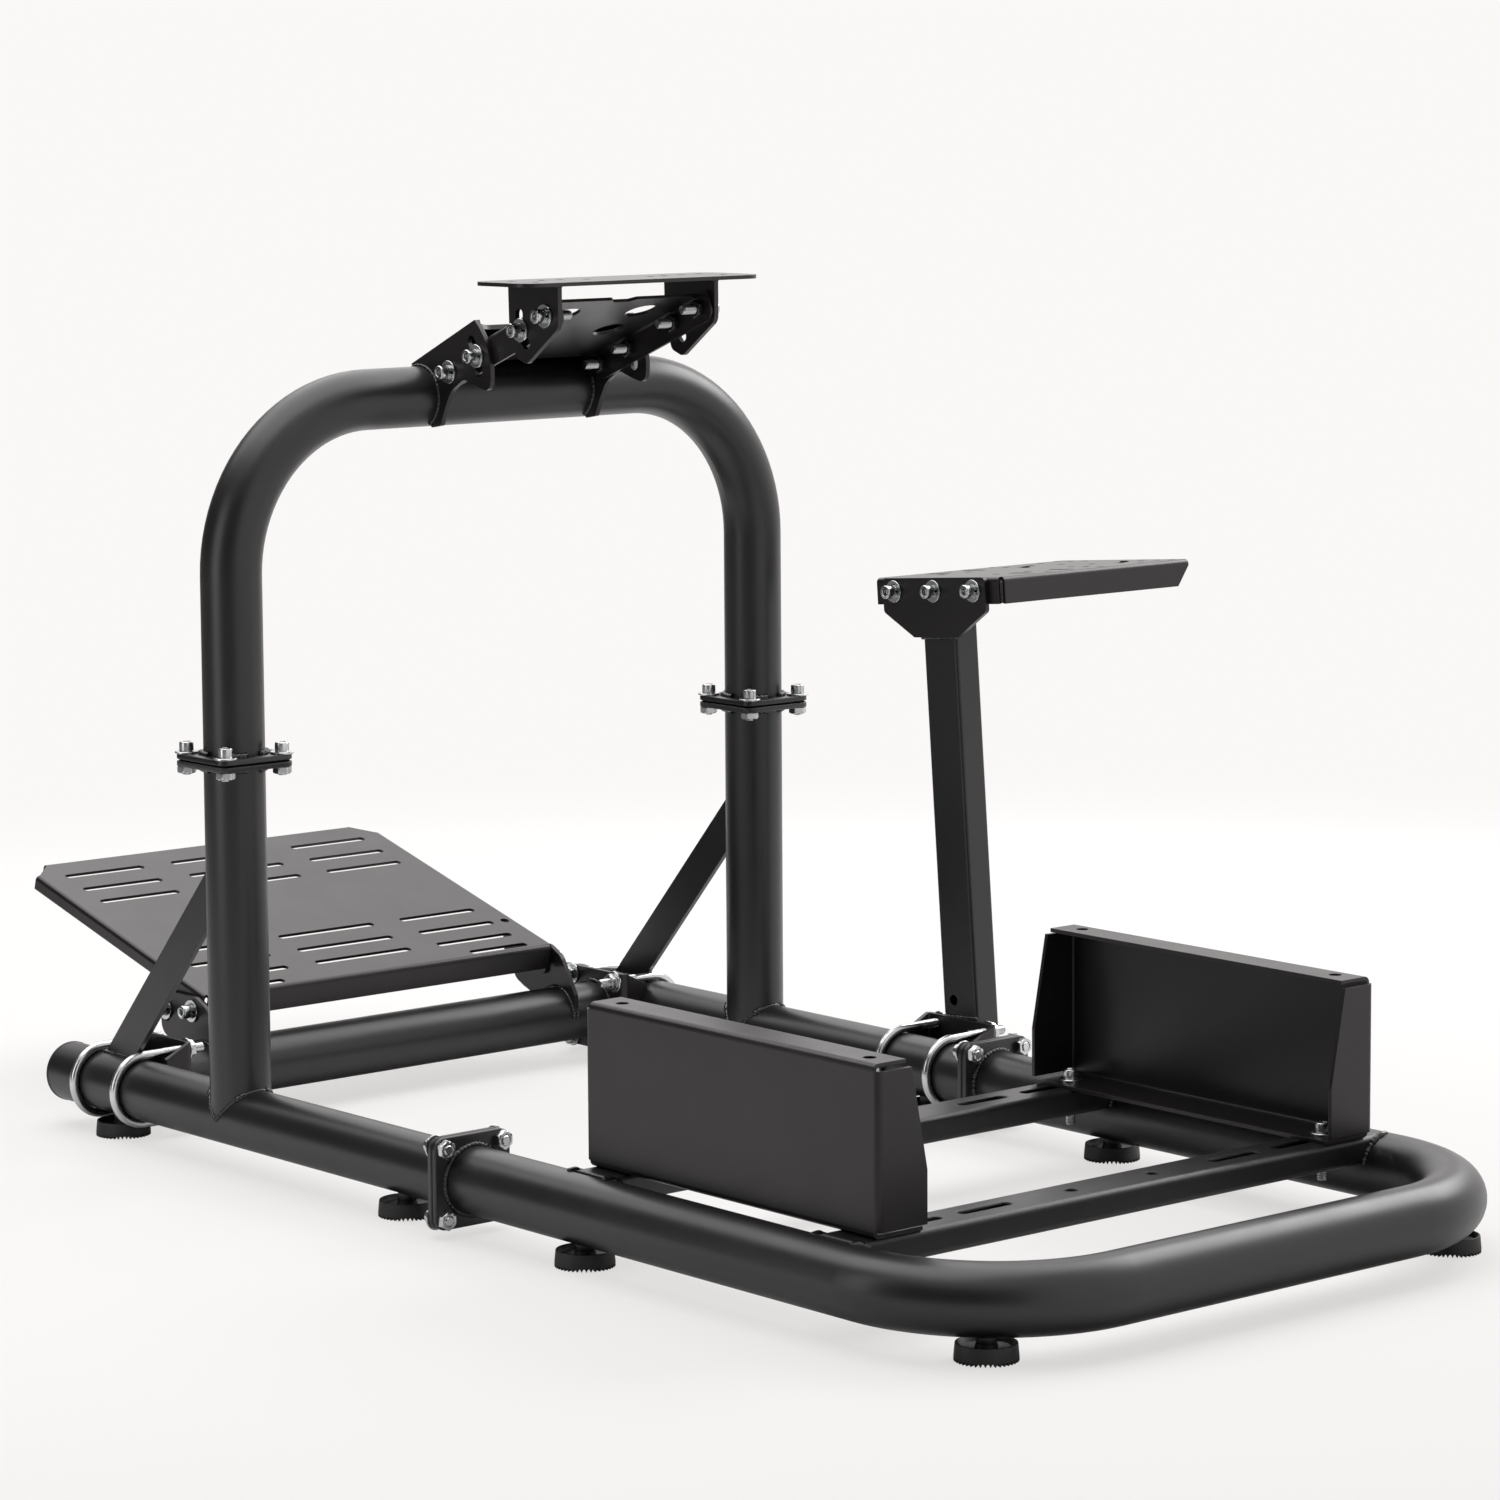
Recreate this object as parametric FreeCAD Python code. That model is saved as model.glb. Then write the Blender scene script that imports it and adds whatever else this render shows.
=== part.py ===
import FreeCAD, Part
import math
import os

V = FreeCAD.Vector
os.makedirs("parts", exist_ok=True)

# Lengths in mm, angles in degrees. X to the driver's right, Y forward, Z up.
# Y starts at the rear tube axis, X at the centre line, Z at the floor.

# Main frame
rail_half = 265.0        # rail axis from the centre line
rail_z = 41.0            # rail axis above the floor
tube_r = 24.0            # front rails, uprights, arch, cross tube
loop_r = 25.4            # rear loop tube
wall = 2.0
loop_bend = 120.0
arch_bend = 130.0
joint_y = 553.0          # plane between the rail flanges
upright_y = 847.0
cross_y = 1014.5         # pedal cross tube, its clamps, the braces' feet and the front pads
rail_end_y = 1088.0
joint_z = 323.0          # plane between the upright flanges
arch_z = 596.0           # arch top axis
stock_corner = 3.0       # corner radius of the rectangular tubes

# Bolted flanges
flange_t = 5.0
flange_pitch = 53.0
flange_margin = 8.0      # edge from the bolt rows
flange_corner = 9.0
bolt_hole_r = 4.5

# Braces
brace_w = 30.0
brace_t = 4.5
brace_rise = 48.0

# Feet
pad_r = 22.0
pad_h = 12.5
pad_lip = 2.5
collar_r = 7.0
stud_r = 5.0
stud_top = 26.0          # above the pad top
mid_foot_y = 417.0
front_foot_y = 630.0

# Rail end caps
cap_t = 3.5
cap_plug = 16.0
cap_round = 1.8

# Seat bars and brackets
bar_w = 40.0
bar_h = 20.0
bar_wall = 1.6
bar_ys = (150.0, 415.0)
bar_slot_w = 9.0
bar_slots = ((40.0, 100.0), (117.0, 166.0))      # slot ends from the rail axis
bar_hole_x = 40.0
seat_t = 3.0
seat_fold = 5.0
seat_inset = 20.0        # outer face from the rail axis
seat_end = 25.0          # past the bar lines
seat_h = 120.5
seat_top_w = 30.0
seat_foot_w = 45.0
seat_knee = 43.0
seat_hole_in = 15.0
seat_bolt_in = 27.5
seat_hole_r = 4.75

# Clamps on the rails
clamp_gap = 13.5         # clamp plate from the rail surface
clamp_t = 4.0
clamp_len = 83.0
clamp_h = 70.0
clamp_fold = 6.0
clamp_reach = 22.0       # end lips, from the plate towards the rail
clamp_fall = 11.0        # lip edges close in by this over the reach
rod_r = 3.5
rod_fit = 0.1
rod_pitch = 58.5
rod_out = 16.0           # rod end past the clamp plate

# Moving bolts
pin_r = 4.0
pin_play = 0.05
slot_play = 0.5
washer_r = 8.5
washer_t = 1.6
spring_r = 6.9
spring_t = 1.8
head_r = 6.5
head_h = 8.0
socket_w = 6.0           # across flats
socket_deep = 4.0
nut_w = 13.0             # across flats
nut_h = 6.5
bolt_tip = 12.0
face_play = 0.2          # between faces that slide on each other
past = 1.0               # cutters beyond the faces that they cut

# Wheel mount
mount_t = 4.0
arm_w = 152.0
arm_t = 2.5
arm_d = 24.0
arm_fold = 5.0
arm_tilt = 21.3
arm_holes = (0.0, 38.4, 99.2, 131.8)
arm_tail = 14.0                  # flanges past the last bolt
arm_tail_corner = 9.0
arm_web_tail = 2.2               # web past the last bolt
arm_notch = (25.0, 14.0, 5.0)    # mouth, floor and depth in the web's rear edge
arm_pivot = (-38.0, 20.8)        # Y and Z from the arch tube axis
arm_window_r = 13.2
arm_window_x = 38.5
arm_windows = (60.0, 104.0)
arm_sweep = 20.0
cradle_rise = 24.3               # top edge and bridge, towards the rear
cradle_rear_r = 53.5             # rear edge about the pivot
cradle_heel = ((-100.0, 40.0), (-88.5, 7.0, 7.0), (-73.0, 11.0, 6.0), (-57.0, 16.0, 8.0))
cradle_leg = ((-40.0, 6.0, 20.0), (-32.0, -8.0, 20.0), (-26.0, -22.0, 2.0), (-14.0, -24.0))
bridge_back = 12.3               # bridge edge before the cradle tips
bridge_corner = 20.0
plate_sweep = 22.0
plate_w = 238.0
plate_d = 74.0
plate_t = 3.0
plate_corner = 18.0
plate_ahead = 9.0                # plate middle from its pivot
plate_hole_r = 3.3
plate_holes = ((94.0, 15.0), (94.0, -15.0), (70.0, 8.0), (52.0, 8.0), (32.0, 0.0))
hanger_top = 23.5                # above the plate pivot
hanger_ends = (-16.0, 46.0)
hanger_foot = ((45.0, -9.0, 30.0), (37.0, -33.0, 6.0), (24.0, -38.0, 6.0), (-16.0, -9.0, 9.0))

# Pedal tray
tray_w = 364.0
tray_l = 284.0
tray_t = 2.5
tray_lip = 12.0
tray_rear_lip = 21.5
tray_fold = 4.0
tray_tilt = 15.5
tray_pivot = (15.0, 48.0)        # Y and Z from the cross tube axis
tray_back = 10.0                 # pivot ahead of the tray's rear face
tray_drop = 16.0                 # pivot below the tray's top face
tray_reach = 38.0                # slot bolt from the pivot
tray_reach_a = -4.5
tray_sweep = 9.0
tray_slot_w = 7.0
tray_rows = (9.5, 32.0, 58.5, 87.0, 198.0, 225.0, 254.0)
tray_mid = 49.5                  # half length of a centre slot
tray_side = (78.0, 158.0)
tray_short = (97.0, 158.0)
tray_hole_in = 11.0
tray_hole_r = 4.0
tray_ear = 12.5
tray_relief = 21.0
bracket_t = 4.0
bracket_foot = 25.0              # half width at the cross tube
bracket_line = ((-25.0, 20.0), (-6.0, 52.0, 12.0), (10.0, 60.0, 14.0), (54.0, 60.0, 12.0), (61.0, 46.0),
                (60.0, 26.0, 12.0), (46.0, 19.0, 12.0), (27.0, 12.0, 14.0))

# Shifter mount
shift_y = 632.0                  # clamp and post foot
post_w = 40.0
post_d = 25.0
post_wall = 1.8
post_lean = 4.5
post_foot = 26.0                 # lower end above the floor
post_vent = (7.0, 64.0, 4.5)     # hole ahead of the axis, above the lower end, radius
deck_z = 439.0
deck_l = 215.0
deck_w = 154.0
deck_lip = 22.0
deck_t = 2.5
deck_fold = 4.0
deck_taper = 14.0                # lips cut back at the free end
deck_tip = 4.0                   # lip height left there
deck_slot_w = 7.0
deck_slots = ((48.0, 40.0, 60.0), (91.0, 42.0, 64.0))
deck_hole_r = 3.5
deck_holes = ((36.0, 33.0), (69.0, 36.0), (69.0, 60.0), (124.0, 30.0), (124.0, 48.0), (124.0, 66.0),
              (160.0, 18.0), (176.0, 60.0), (203.0, 34.0), (203.0, 52.0), (203.0, 68.0))
deck_ring_x = 158.0
deck_ring_r = 42.0
deck_ring_arcs = ((105.0, 155.0), (-75.0, -25.0))
gusset_w = 123.0
gusset_foot_w = 52.0
gusset_h = 49.0
gusset_side = 28.0
gusset_t = 4.0
gusset_corner = 4.0
gusset_pitch = 47.5
gusset_bolt_z = 11.0             # below the deck top


def turn_x(shape, degrees, origin):
    """Copy of a shape turned about an X axis through origin."""
    out = shape.copy()
    out.rotate(origin, V(1, 0, 0), degrees)
    return out


def mirror_x(shape):
    return shape.mirror(V(0, 0, 0), V(1, 0, 0))


def rod(start, end, radius):
    span = end.sub(start)
    return Part.makeCylinder(radius, span.Length, start, span)


def tube(start, end, radius, thick):
    return rod(start, end, radius).cut(rod(start, end, radius - thick))


def box(x0, x1, y0, y1, z0, z1):
    return Part.makeBox(x1 - x0, y1 - y0, z1 - z0, V(x0, y0, z0))


def path(points, radius):
    """Polyline with every inner corner rounded to radius."""
    edges = []
    last = points[0]
    for before, corner, after in zip(points, points[1:], points[2:]):
        a = before.sub(corner).normalize()
        b = after.sub(corner).normalize()
        half = a.getAngle(b) / 2
        inner = a.add(b).normalize()
        start = corner.add(a * (radius / math.tan(half)))
        stop = corner.add(b * (radius / math.tan(half)))
        middle = corner.add(inner * (radius / math.sin(half) - radius))
        edges.append(Part.LineSegment(last, start).toShape())
        edges.append(Part.Arc(start, middle, stop).toShape())
        last = stop
    edges.append(Part.LineSegment(last, points[-1]).toShape())
    return Part.Wire(edges)


def swept(points, bend, radius):
    spine = path(points, bend)
    ring = Part.Wire(Part.Circle(points[0], points[1].sub(points[0]), radius).toShape())
    return spine.makePipeShell([ring], True, True)


def bent_tube(points, bend, radius, thick):
    return swept(points, bend, radius).cut(swept(points, bend, radius - thick))


def outline(points):
    """Closed wire through 2-D corners; a third value rounds that corner."""
    edges = []
    count = len(points)
    joints = []
    for i, point in enumerate(points):
        corner = V(point[0], point[1], 0)
        radius = point[2] if len(point) > 2 else 0
        if radius == 0:
            joints.append((corner, None, corner))
            continue
        before = points[i - 1]
        after = points[(i + 1) % count]
        a = V(before[0], before[1], 0).sub(corner).normalize()
        b = V(after[0], after[1], 0).sub(corner).normalize()
        half = a.getAngle(b) / 2
        start = corner.add(a * (radius / math.tan(half)))
        stop = corner.add(b * (radius / math.tan(half)))
        middle = corner.add(a.add(b).normalize() * (radius / math.sin(half) - radius))
        joints.append((start, middle, stop))
    for i in range(count):
        start, middle, stop = joints[i]
        if middle is not None:
            edges.append(Part.Arc(start, middle, stop).toShape())
        after = joints[(i + 1) % count][0]
        if stop.distanceToPoint(after) > 1e-6:
            edges.append(Part.LineSegment(stop, after).toShape())
    return Part.Wire(edges)


def plate_z(points, z0, thick):
    """Plate with its outline in X and Y."""
    face = Part.Face(outline(points))
    solid = face.extrude(V(0, 0, thick))
    solid.translate(V(0, 0, z0))
    return solid


def plate_x(points, x0, thick):
    """Plate with its outline in Y and Z."""
    solid = plate_z(points, 0, thick)
    solid.rotate(V(0, 0, 0), V(1, 1, 1), 120)
    solid.translate(V(x0, 0, 0))
    return solid


def plate_y(points, y0, thick):
    """Plate with its outline in X and Z."""
    solid = plate_z(points, 0, thick)
    solid.rotate(V(0, 0, 0), V(1, 0, 0), 90)
    solid.translate(V(0, y0 + thick, 0))
    return solid


def square(half_u, half_v, corner):
    return [(half_u, half_v, corner), (-half_u, half_v, corner),
            (-half_u, -half_v, corner), (half_u, -half_v, corner)]


def slot_z(start, end, width, z0, z1):
    """Cutter for a round-ended slot between two hole centres."""
    r = width / 2
    a = V(start[0], start[1], z0)
    b = V(end[0], end[1], z0)
    deep = V(0, 0, z1 - z0)
    along = b.sub(a).normalize() * 1.0
    side = V(-along.y, along.x, 0) * r
    loop = [a.add(side), b.add(side), b.sub(side), a.sub(side), a.add(side)]
    body = Part.Face(Part.makePolygon(loop)).extrude(deep)
    return body.fuse([Part.makeCylinder(r, z1 - z0, a), Part.makeCylinder(r, z1 - z0, b)])


def arc_slot(radius, width, start, end):
    """Cutter for a slot along an arc about the origin, across Z."""
    deep = radius
    low = V(0, 0, -deep / 2)
    ring = Part.makeCylinder(radius + width / 2, deep, low, V(0, 0, 1), end - start)
    ring = ring.cut(Part.makeCylinder(radius - width / 2, deep, low))
    ring.rotate(V(0, 0, 0), V(0, 0, 1), start)
    ends = []
    for angle in (start, end):
        y, z = polar(radius, angle)
        ends.append(Part.makeCylinder(width / 2, deep, low.add(V(y, z, 0))))
    return ring.fuse(ends)


def to_yz(shape, x, y, z):
    """Move a shape drawn about the origin in X and Y onto a Y-Z plane."""
    out = shape.copy()
    out.rotate(V(0, 0, 0), V(1, 1, 1), 120)
    out.translate(V(x, y, z))
    return out


def holes_z(spots, radius, z0, z1):
    return [Part.makeCylinder(radius, z1 - z0, V(x, y, z0)) for x, y in spots]


def round_edges(shape, radius, wanted):
    """Fillet the edges whose middle point passes the test."""
    edges = [e for e in shape.Edges if wanted(e.CenterOfMass)]
    return shape.makeFillet(radius, edges)


def lip(length, thick, fold, drop):
    """Folded edge along X: leaves a sheet's top face at Y 0, Z 0 and turns down at Y fold."""
    inside = fold - thick
    line = [(0, 0), (fold, 0, fold), (fold, -drop), (inside, -drop), (inside, -thick, inside), (0, -thick)]
    return plate_x(line, -length / 2, length)


def folded(width, depth, thick, fold, drops):
    """Sheet with its top face at Z 0 and lips turned down; drops are for -X, +X, -Y and +Y."""
    half_w = width / 2
    half_d = depth / 2
    cuts = [fold if d else 0 for d in drops]
    sheet = box(-half_w + cuts[0], half_w - cuts[1], -half_d + cuts[2], half_d - cuts[3], -thick, 0)
    turns = ((90, -half_w + cuts[0], 0), (-90, half_w - cuts[1], 0),
             (180, 0, -half_d + cuts[2]), (0, 0, half_d - cuts[3]))
    edges = []
    for i, (angle, x, y) in enumerate(turns):
        if not drops[i]:
            continue
        if i < 2:
            low, high = -half_d + cuts[2], half_d - cuts[3]
            y = (low + high) / 2
        else:
            low, high = -half_w + cuts[0], half_w - cuts[1]
            x = (low + high) / 2
        edge = lip(high - low, thick, fold, drops[i])
        edge.rotate(V(0, 0, 0), V(0, 0, 1), angle)
        edge.translate(V(x, y, 0))
        edges.append(edge)
    return sheet.fuse(edges).removeSplitter()


def polar(radius, degrees):
    return radius * math.cos(math.radians(degrees)), radius * math.sin(math.radians(degrees))


parts = {}
sides = ((-1, "left"), (1, "right"))


def on_rail(side, y, z=0.0):
    return V(side * rail_half, y, rail_z + z)


# Feet: each entry is X, Y and the radius of the tube above it
corner_in = loop_bend * (1 - math.sqrt(0.5))
feet = []
for side in (-1, 1):
    feet.append((side * (rail_half - corner_in), corner_in, loop_r))
    feet.append((side * rail_half, mid_foot_y, loop_r))
    feet.append((side * rail_half, front_foot_y, tube_r))
    feet.append((side * rail_half, cross_y, tube_r))
stud_drills = [Part.makeCylinder(stud_r, rail_z, V(x, y, 0)) for x, y, r in feet]
pads = []
studs = []
for x, y, r in feet:
    pad = Part.makeCylinder(pad_r, pad_h, V(x, y, 0))
    pad = pad.cut(Part.makeCylinder(pad_r - pad_lip, pad_lip, V(x, y, pad_h - pad_lip)))
    pad = pad.cut(Part.makeCylinder(stud_r, pad_h, V(x, y, pad_lip)))
    pads.append(pad)
    stud = Part.makeCylinder(stud_r, pad_h + stud_top - pad_lip, V(x, y, pad_lip))
    collar = Part.makeCylinder(collar_r, rail_z - r - pad_h + collar_r, V(x, y, pad_h - pad_lip))
    studs.append((stud, collar))
parts["foot_pads"] = Part.makeCompound(pads)

# Rear loop, one bent tube
loop_end = joint_y - flange_t
loop_points = [V(-rail_half, loop_end, rail_z), V(-rail_half, 0, rail_z),
               V(rail_half, 0, rail_z), V(rail_half, loop_end, rail_z)]
loop_body = swept(loop_points, loop_bend, loop_r)
loop_tube = loop_body.cut(swept(loop_points, loop_bend, loop_r - wall))
parts["rear_loop_tube"] = loop_tube.cut(stud_drills)

# Front rails
rail_bodies = {}
for side, name in sides:
    rail_bodies[side] = rod(on_rail(side, joint_y + flange_t), on_rail(side, rail_end_y), tube_r)
    rail = tube(on_rail(side, joint_y + flange_t), on_rail(side, rail_end_y), tube_r, wall)
    parts[name + "_rail_tube"] = rail.cut(stud_drills)

# Foot studs, their collars shaped to the tube undersides
shaped = []
for stud, collar in studs:
    shaped.append(stud.fuse(collar.cut([loop_body] + list(rail_bodies.values()))).removeSplitter())
parts["foot_studs"] = Part.makeCompound(shaped)

# Rail end caps
caps = []
for side in (-1, 1):
    cap_end = rail_end_y + cap_t
    cover = rod(on_rail(side, rail_end_y), on_rail(side, cap_end), tube_r)
    cover = round_edges(cover, cap_round, lambda c: abs(c.y - cap_end) < 0.01)
    plug = tube(on_rail(side, rail_end_y - cap_plug), on_rail(side, rail_end_y), tube_r - wall, wall)
    caps.append(cover.fuse(plug).removeSplitter())
parts["rail_end_caps"] = Part.makeCompound(caps)


# Flange plates
def flange_plate():
    """Square plate in X and Y with four bolt holes, its lower face at Z 0."""
    h = flange_pitch / 2
    edge = h + flange_margin
    plate = plate_z(square(edge, edge, flange_corner), 0, flange_t)
    return plate.cut(holes_z([(h, h), (-h, h), (-h, -h), (h, -h)], bolt_hole_r, -past, flange_t + past))


def rail_flange(side, y):
    plate = flange_plate()
    plate.rotate(V(0, 0, 0), V(1, 0, 0), -90)
    plate.translate(on_rail(side, y))
    return plate


def upright_flange(side, z):
    plate = flange_plate()
    plate.translate(V(side * rail_half, upright_y, z))
    return plate


parts["rear_rail_flanges"] = Part.makeCompound([rail_flange(s, joint_y - flange_t) for s in (-1, 1)])
parts["front_rail_flanges"] = Part.makeCompound([rail_flange(s, joint_y) for s in (-1, 1)])
parts["lower_upright_flanges"] = Part.makeCompound(
    [upright_flange(s, joint_z - flange_t) for s in (-1, 1)])
parts["upper_upright_flanges"] = Part.makeCompound([upright_flange(s, joint_z) for s in (-1, 1)])

# Uprights, notched to the rails
for side, name in sides:
    foot = V(side * rail_half, upright_y, rail_z)
    head = V(side * rail_half, upright_y, joint_z - flange_t)
    parts[name + "_upright_tube"] = tube(foot, head, tube_r, wall).cut(rail_bodies[side])

# Wheel arch
arch_foot = joint_z + flange_t
arch_points = [V(-rail_half, upright_y, arch_foot), V(-rail_half, upright_y, arch_z),
               V(rail_half, upright_y, arch_z), V(rail_half, upright_y, arch_foot)]
parts["wheel_arch_tube"] = bent_tube(arch_points, arch_bend, tube_r, wall)

# Braces from the rail tops to the uprights, drawn long and trimmed to both tubes
climb = V(0, -math.cos(math.radians(brace_rise)), math.sin(math.radians(brace_rise)))
edge_off = V(0, climb.z, -climb.y) * (brace_w / 2)
brace_seat = V(0, cross_y, rail_z + tube_r)
brace_low = brace_seat.sub(climb * brace_w)
brace_high = brace_seat.add(climb * (cross_y - upright_y + brace_w) / abs(climb.y))
brace_corners = (brace_low.add(edge_off), brace_high.add(edge_off), brace_high.sub(edge_off),
                 brace_low.sub(edge_off))
for side, name in sides:
    bar = plate_x([(p.y, p.z) for p in brace_corners], side * rail_half - brace_t / 2, brace_t)
    stem = rod(V(side * rail_half, upright_y, rail_z), V(side * rail_half, upright_y, joint_z), tube_r)
    behind = box(-2 * rail_half, 2 * rail_half, 0, upright_y, 0, arch_z)
    below = box(-2 * rail_half, 2 * rail_half, 0, 2 * rail_end_y, -arch_z, rail_z)
    parts[name + "_brace"] = bar.cut([rail_bodies[side], stem, behind, below])

# Seat bars
bar_top = rail_z + loop_r
bar_low = bar_top - bar_h
for y, name in ((bar_ys[0], "rear_seat_bar"), (bar_ys[1], "front_seat_bar")):
    bar = box(-rail_half, rail_half, y - bar_w / 2, y + bar_w / 2, bar_low, bar_top)
    bar = round_edges(bar, stock_corner, lambda c: abs(c.x) < 1)
    bar_cuts = [loop_body, box(-rail_half, rail_half, y - bar_w / 2 + bar_wall, y + bar_w / 2 - bar_wall,
                               bar_low + bar_wall, bar_top - bar_wall)]
    for side in (-1, 1):
        for near, far in bar_slots:
            a = side * (rail_half - near - bar_slot_w / 2)
            b = side * (rail_half - far + bar_slot_w / 2)
            bar_cuts.append(slot_z((a, y), (b, y), bar_slot_w, bar_low - past, bar_top + past))
    bar_cuts += holes_z([(-bar_hole_x, y), (bar_hole_x, y)], bar_slot_w / 2, bar_low - past, bar_top + past)
    parts[name] = bar.cut(bar_cuts)

# Seat brackets, folded from one sheet with five faces
seat_out = rail_half - seat_inset
seat_y0 = bar_ys[0] - seat_end
seat_len = bar_ys[1] + seat_end - seat_y0


def seat_bracket():
    """Right bracket: outer face towards +X, lips towards the seat."""
    drops = (seat_foot_w, seat_foot_w, seat_foot_w, seat_top_w)
    shell = folded(seat_len, seat_h, seat_t, seat_fold, drops)
    shell = to_yz(shell, seat_out, seat_y0 + seat_len / 2, bar_top + seat_h / 2)
    inner = seat_out - seat_foot_w
    taper = [(inner - past, bar_top + seat_knee), (inner, bar_top + seat_knee),
             (seat_out - seat_top_w, bar_top + seat_h), (inner - past, bar_top + seat_h)]
    shell = shell.cut(plate_y(taper, seat_y0, seat_len))
    top_holes = [(seat_out - seat_hole_in, y) for y in bar_ys]
    foot_holes = [(seat_out - seat_bolt_in, y) for y in bar_ys]
    drills = holes_z(top_holes, seat_hole_r, bar_top + seat_h / 2, bar_top + 2 * seat_h)
    drills += holes_z(foot_holes, bolt_hole_r, 0, bar_top + seat_h / 2)
    return shell.cut(drills)


parts["right_seat_bracket"] = seat_bracket()
parts["left_seat_bracket"] = mirror_x(seat_bracket())

# Clamp brackets: drawn about a rail axis at X 0, the plate towards +X
plate_in = tube_r + clamp_gap
plate_out = plate_in + clamp_t
rod_line = tube_r + rod_r + rod_fit
rod_ys = (-rod_pitch / 2, rod_pitch / 2)


def clamp_bracket():
    """Plate whose tapered end lips are notched to sit on the rail."""
    reach = clamp_t + clamp_reach
    shell = to_yz(folded(clamp_len, clamp_h, clamp_t, clamp_fold, (reach, reach, 0, 0)), plate_out, 0, 0)
    cuts = [rod(V(0, -clamp_len, 0), V(0, clamp_len, 0), tube_r)]
    lip_end = plate_in - clamp_reach
    for s in (-1, 1):
        edge = s * clamp_h / 2
        fall = s * clamp_fall
        snip = [(plate_in, edge), (lip_end, edge - fall), (lip_end - past, edge - fall),
                (lip_end - past, edge)]
        cuts.append(plate_y(snip, -clamp_len, 2 * clamp_len))
    for y in rod_ys:
        for z in (-rod_line, rod_line):
            cuts.append(rod(V(plate_in - past, y, z), V(plate_out + past, y, z), bolt_hole_r))
    return shell.cut(cuts)


def u_bolts():
    made = []
    span = 2 * rod_line
    for y in rod_ys:
        bow = Part.makeTorus(rod_line, rod_r, V(0, y, 0), V(0, 1, 0))
        bow = bow.common(box(-span, 0, y - span, y + span, -span, span))
        legs = [rod(V(0, y, z), V(plate_out + rod_out, y, z), rod_r) for z in (-rod_line, rod_line)]
        made.append(bow.fuse(legs).removeSplitter())
    return Part.makeCompound(made)


def placed(shape, x, y, flip):
    out = mirror_x(shape) if flip else shape.copy()
    out.translate(V(x, y, rail_z))
    return out


parts["left_pedal_clamp"] = placed(clamp_bracket(), -rail_half, cross_y, False)
parts["right_pedal_clamp"] = placed(clamp_bracket(), rail_half, cross_y, True)
parts["left_pedal_u_bolts"] = placed(u_bolts(), -rail_half, cross_y, False)
parts["right_pedal_u_bolts"] = placed(u_bolts(), rail_half, cross_y, True)
parts["shifter_clamp"] = placed(clamp_bracket(), rail_half, shift_y, False)
parts["shifter_u_bolts"] = placed(u_bolts(), rail_half, shift_y, False)

# Pedal cross tube between the clamps
cross_ends = [V(s * (rail_half - plate_out), cross_y, rail_z) for s in (-1, 1)]
cross_body = rod(*cross_ends, tube_r)
parts["pedal_cross_tube"] = tube(*cross_ends, tube_r, wall)


def hexagon(x, y, z, across, length):
    """Six-sided prism along +X from a point."""
    corners = [polar(across / math.sqrt(3), 60 * i) for i in range(6)]
    return plate_x([(y + a, z + b) for a, b in corners], x, length)


def joint_bolt(x_out, through, y, z):
    """Socket screw along X on the left side: head outside x_out, nut past the joined sheets."""
    x = x_out - face_play
    nut_x = x_out + through
    shank = rod(V(x, y, z), V(nut_x + nut_h + bolt_tip, y, z), pin_r)
    stack = [hexagon(nut_x, y, z, nut_w, nut_h)]
    for radius, length in ((washer_r, washer_t), (spring_r, spring_t), (head_r, head_h)):
        stack.append(rod(V(x, y, z), V(x - length, y, z), radius))
        x -= length
    return shank.fuse(stack).removeSplitter().cut(hexagon(x, y, z, socket_w, socket_deep))


def both_sides(solids):
    return Part.makeCompound(solids + [mirror_x(s) for s in solids])


def pivot_bore(y, z):
    return rod(V(-rail_half, y, z), V(0, y, z), pin_r + pin_play)


# Wheel arm: a channel drawn level with its pivot at the origin and its tail towards -Y
arm_y = upright_y + arm_pivot[0]
arm_z = arch_z + arm_pivot[1]
arm_half = arm_w / 2
arm_nose = arm_d / 2
arm_len = arm_holes[3] + arm_tail
web_end = arm_holes[3] + arm_web_tail


def at_arm(distance):
    """Y and Z of a point on the arm's bolt line."""
    y, z = polar(distance, arm_tilt)
    return arm_y - y, arm_z + z


arm = folded(arm_w, arm_nose + arm_len, arm_t, arm_fold, (arm_d, arm_d, 0, 0))
arm.translate(V(0, (arm_nose - arm_len) / 2, arm_d / 2))
side_line = [(arm_nose, arm_d / 2, arm_nose), (-arm_len, arm_d / 2),
             (-arm_len, -arm_d / 2, arm_tail_corner), (arm_nose, -arm_d / 2, arm_nose)]
arm = arm.common(plate_x(side_line, -arm_w, 2 * arm_w))
mouth, floor, deep = arm_notch
notch = [(-mouth / 2, -web_end), (-floor / 2, -web_end + deep), (floor / 2, -web_end + deep),
         (mouth / 2, -web_end)]
windows = [(x, -s) for x in (-arm_window_x, arm_window_x) for s in arm_windows]
arm_cuts = holes_z(windows, arm_window_r, 0, arm_d)
arm_cuts.append(box(-arm_half + arm_t, arm_half - arm_t, -arm_len - past, -web_end, -arm_d, arm_d))
arm_cuts.append(plate_z(notch, 0, arm_d))
arm_cuts += [rod(V(-arm_w, -s, 0), V(arm_w, -s, 0), pin_r) for s in arm_holes]
arm = arm.cut(arm_cuts)
arm.rotate(V(0, 0, 0), V(1, 0, 0), -arm_tilt)
arm.translate(V(0, arm_y, arm_z))
parts["wheel_arm"] = arm

# Wheel cradles on the arch tube, each with a pivot hole and an arc slot
cradle_x = -arm_half - face_play - mount_t
cradle_top = tube_r + mount_t
lean_y, lean_z = polar(1, cradle_rise)


def at_cradle(along, height):
    """Y and Z from the arch axis of a point given along and above the cradle's slope."""
    return height * lean_z - along * lean_y, along * lean_z + height * lean_y


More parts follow.
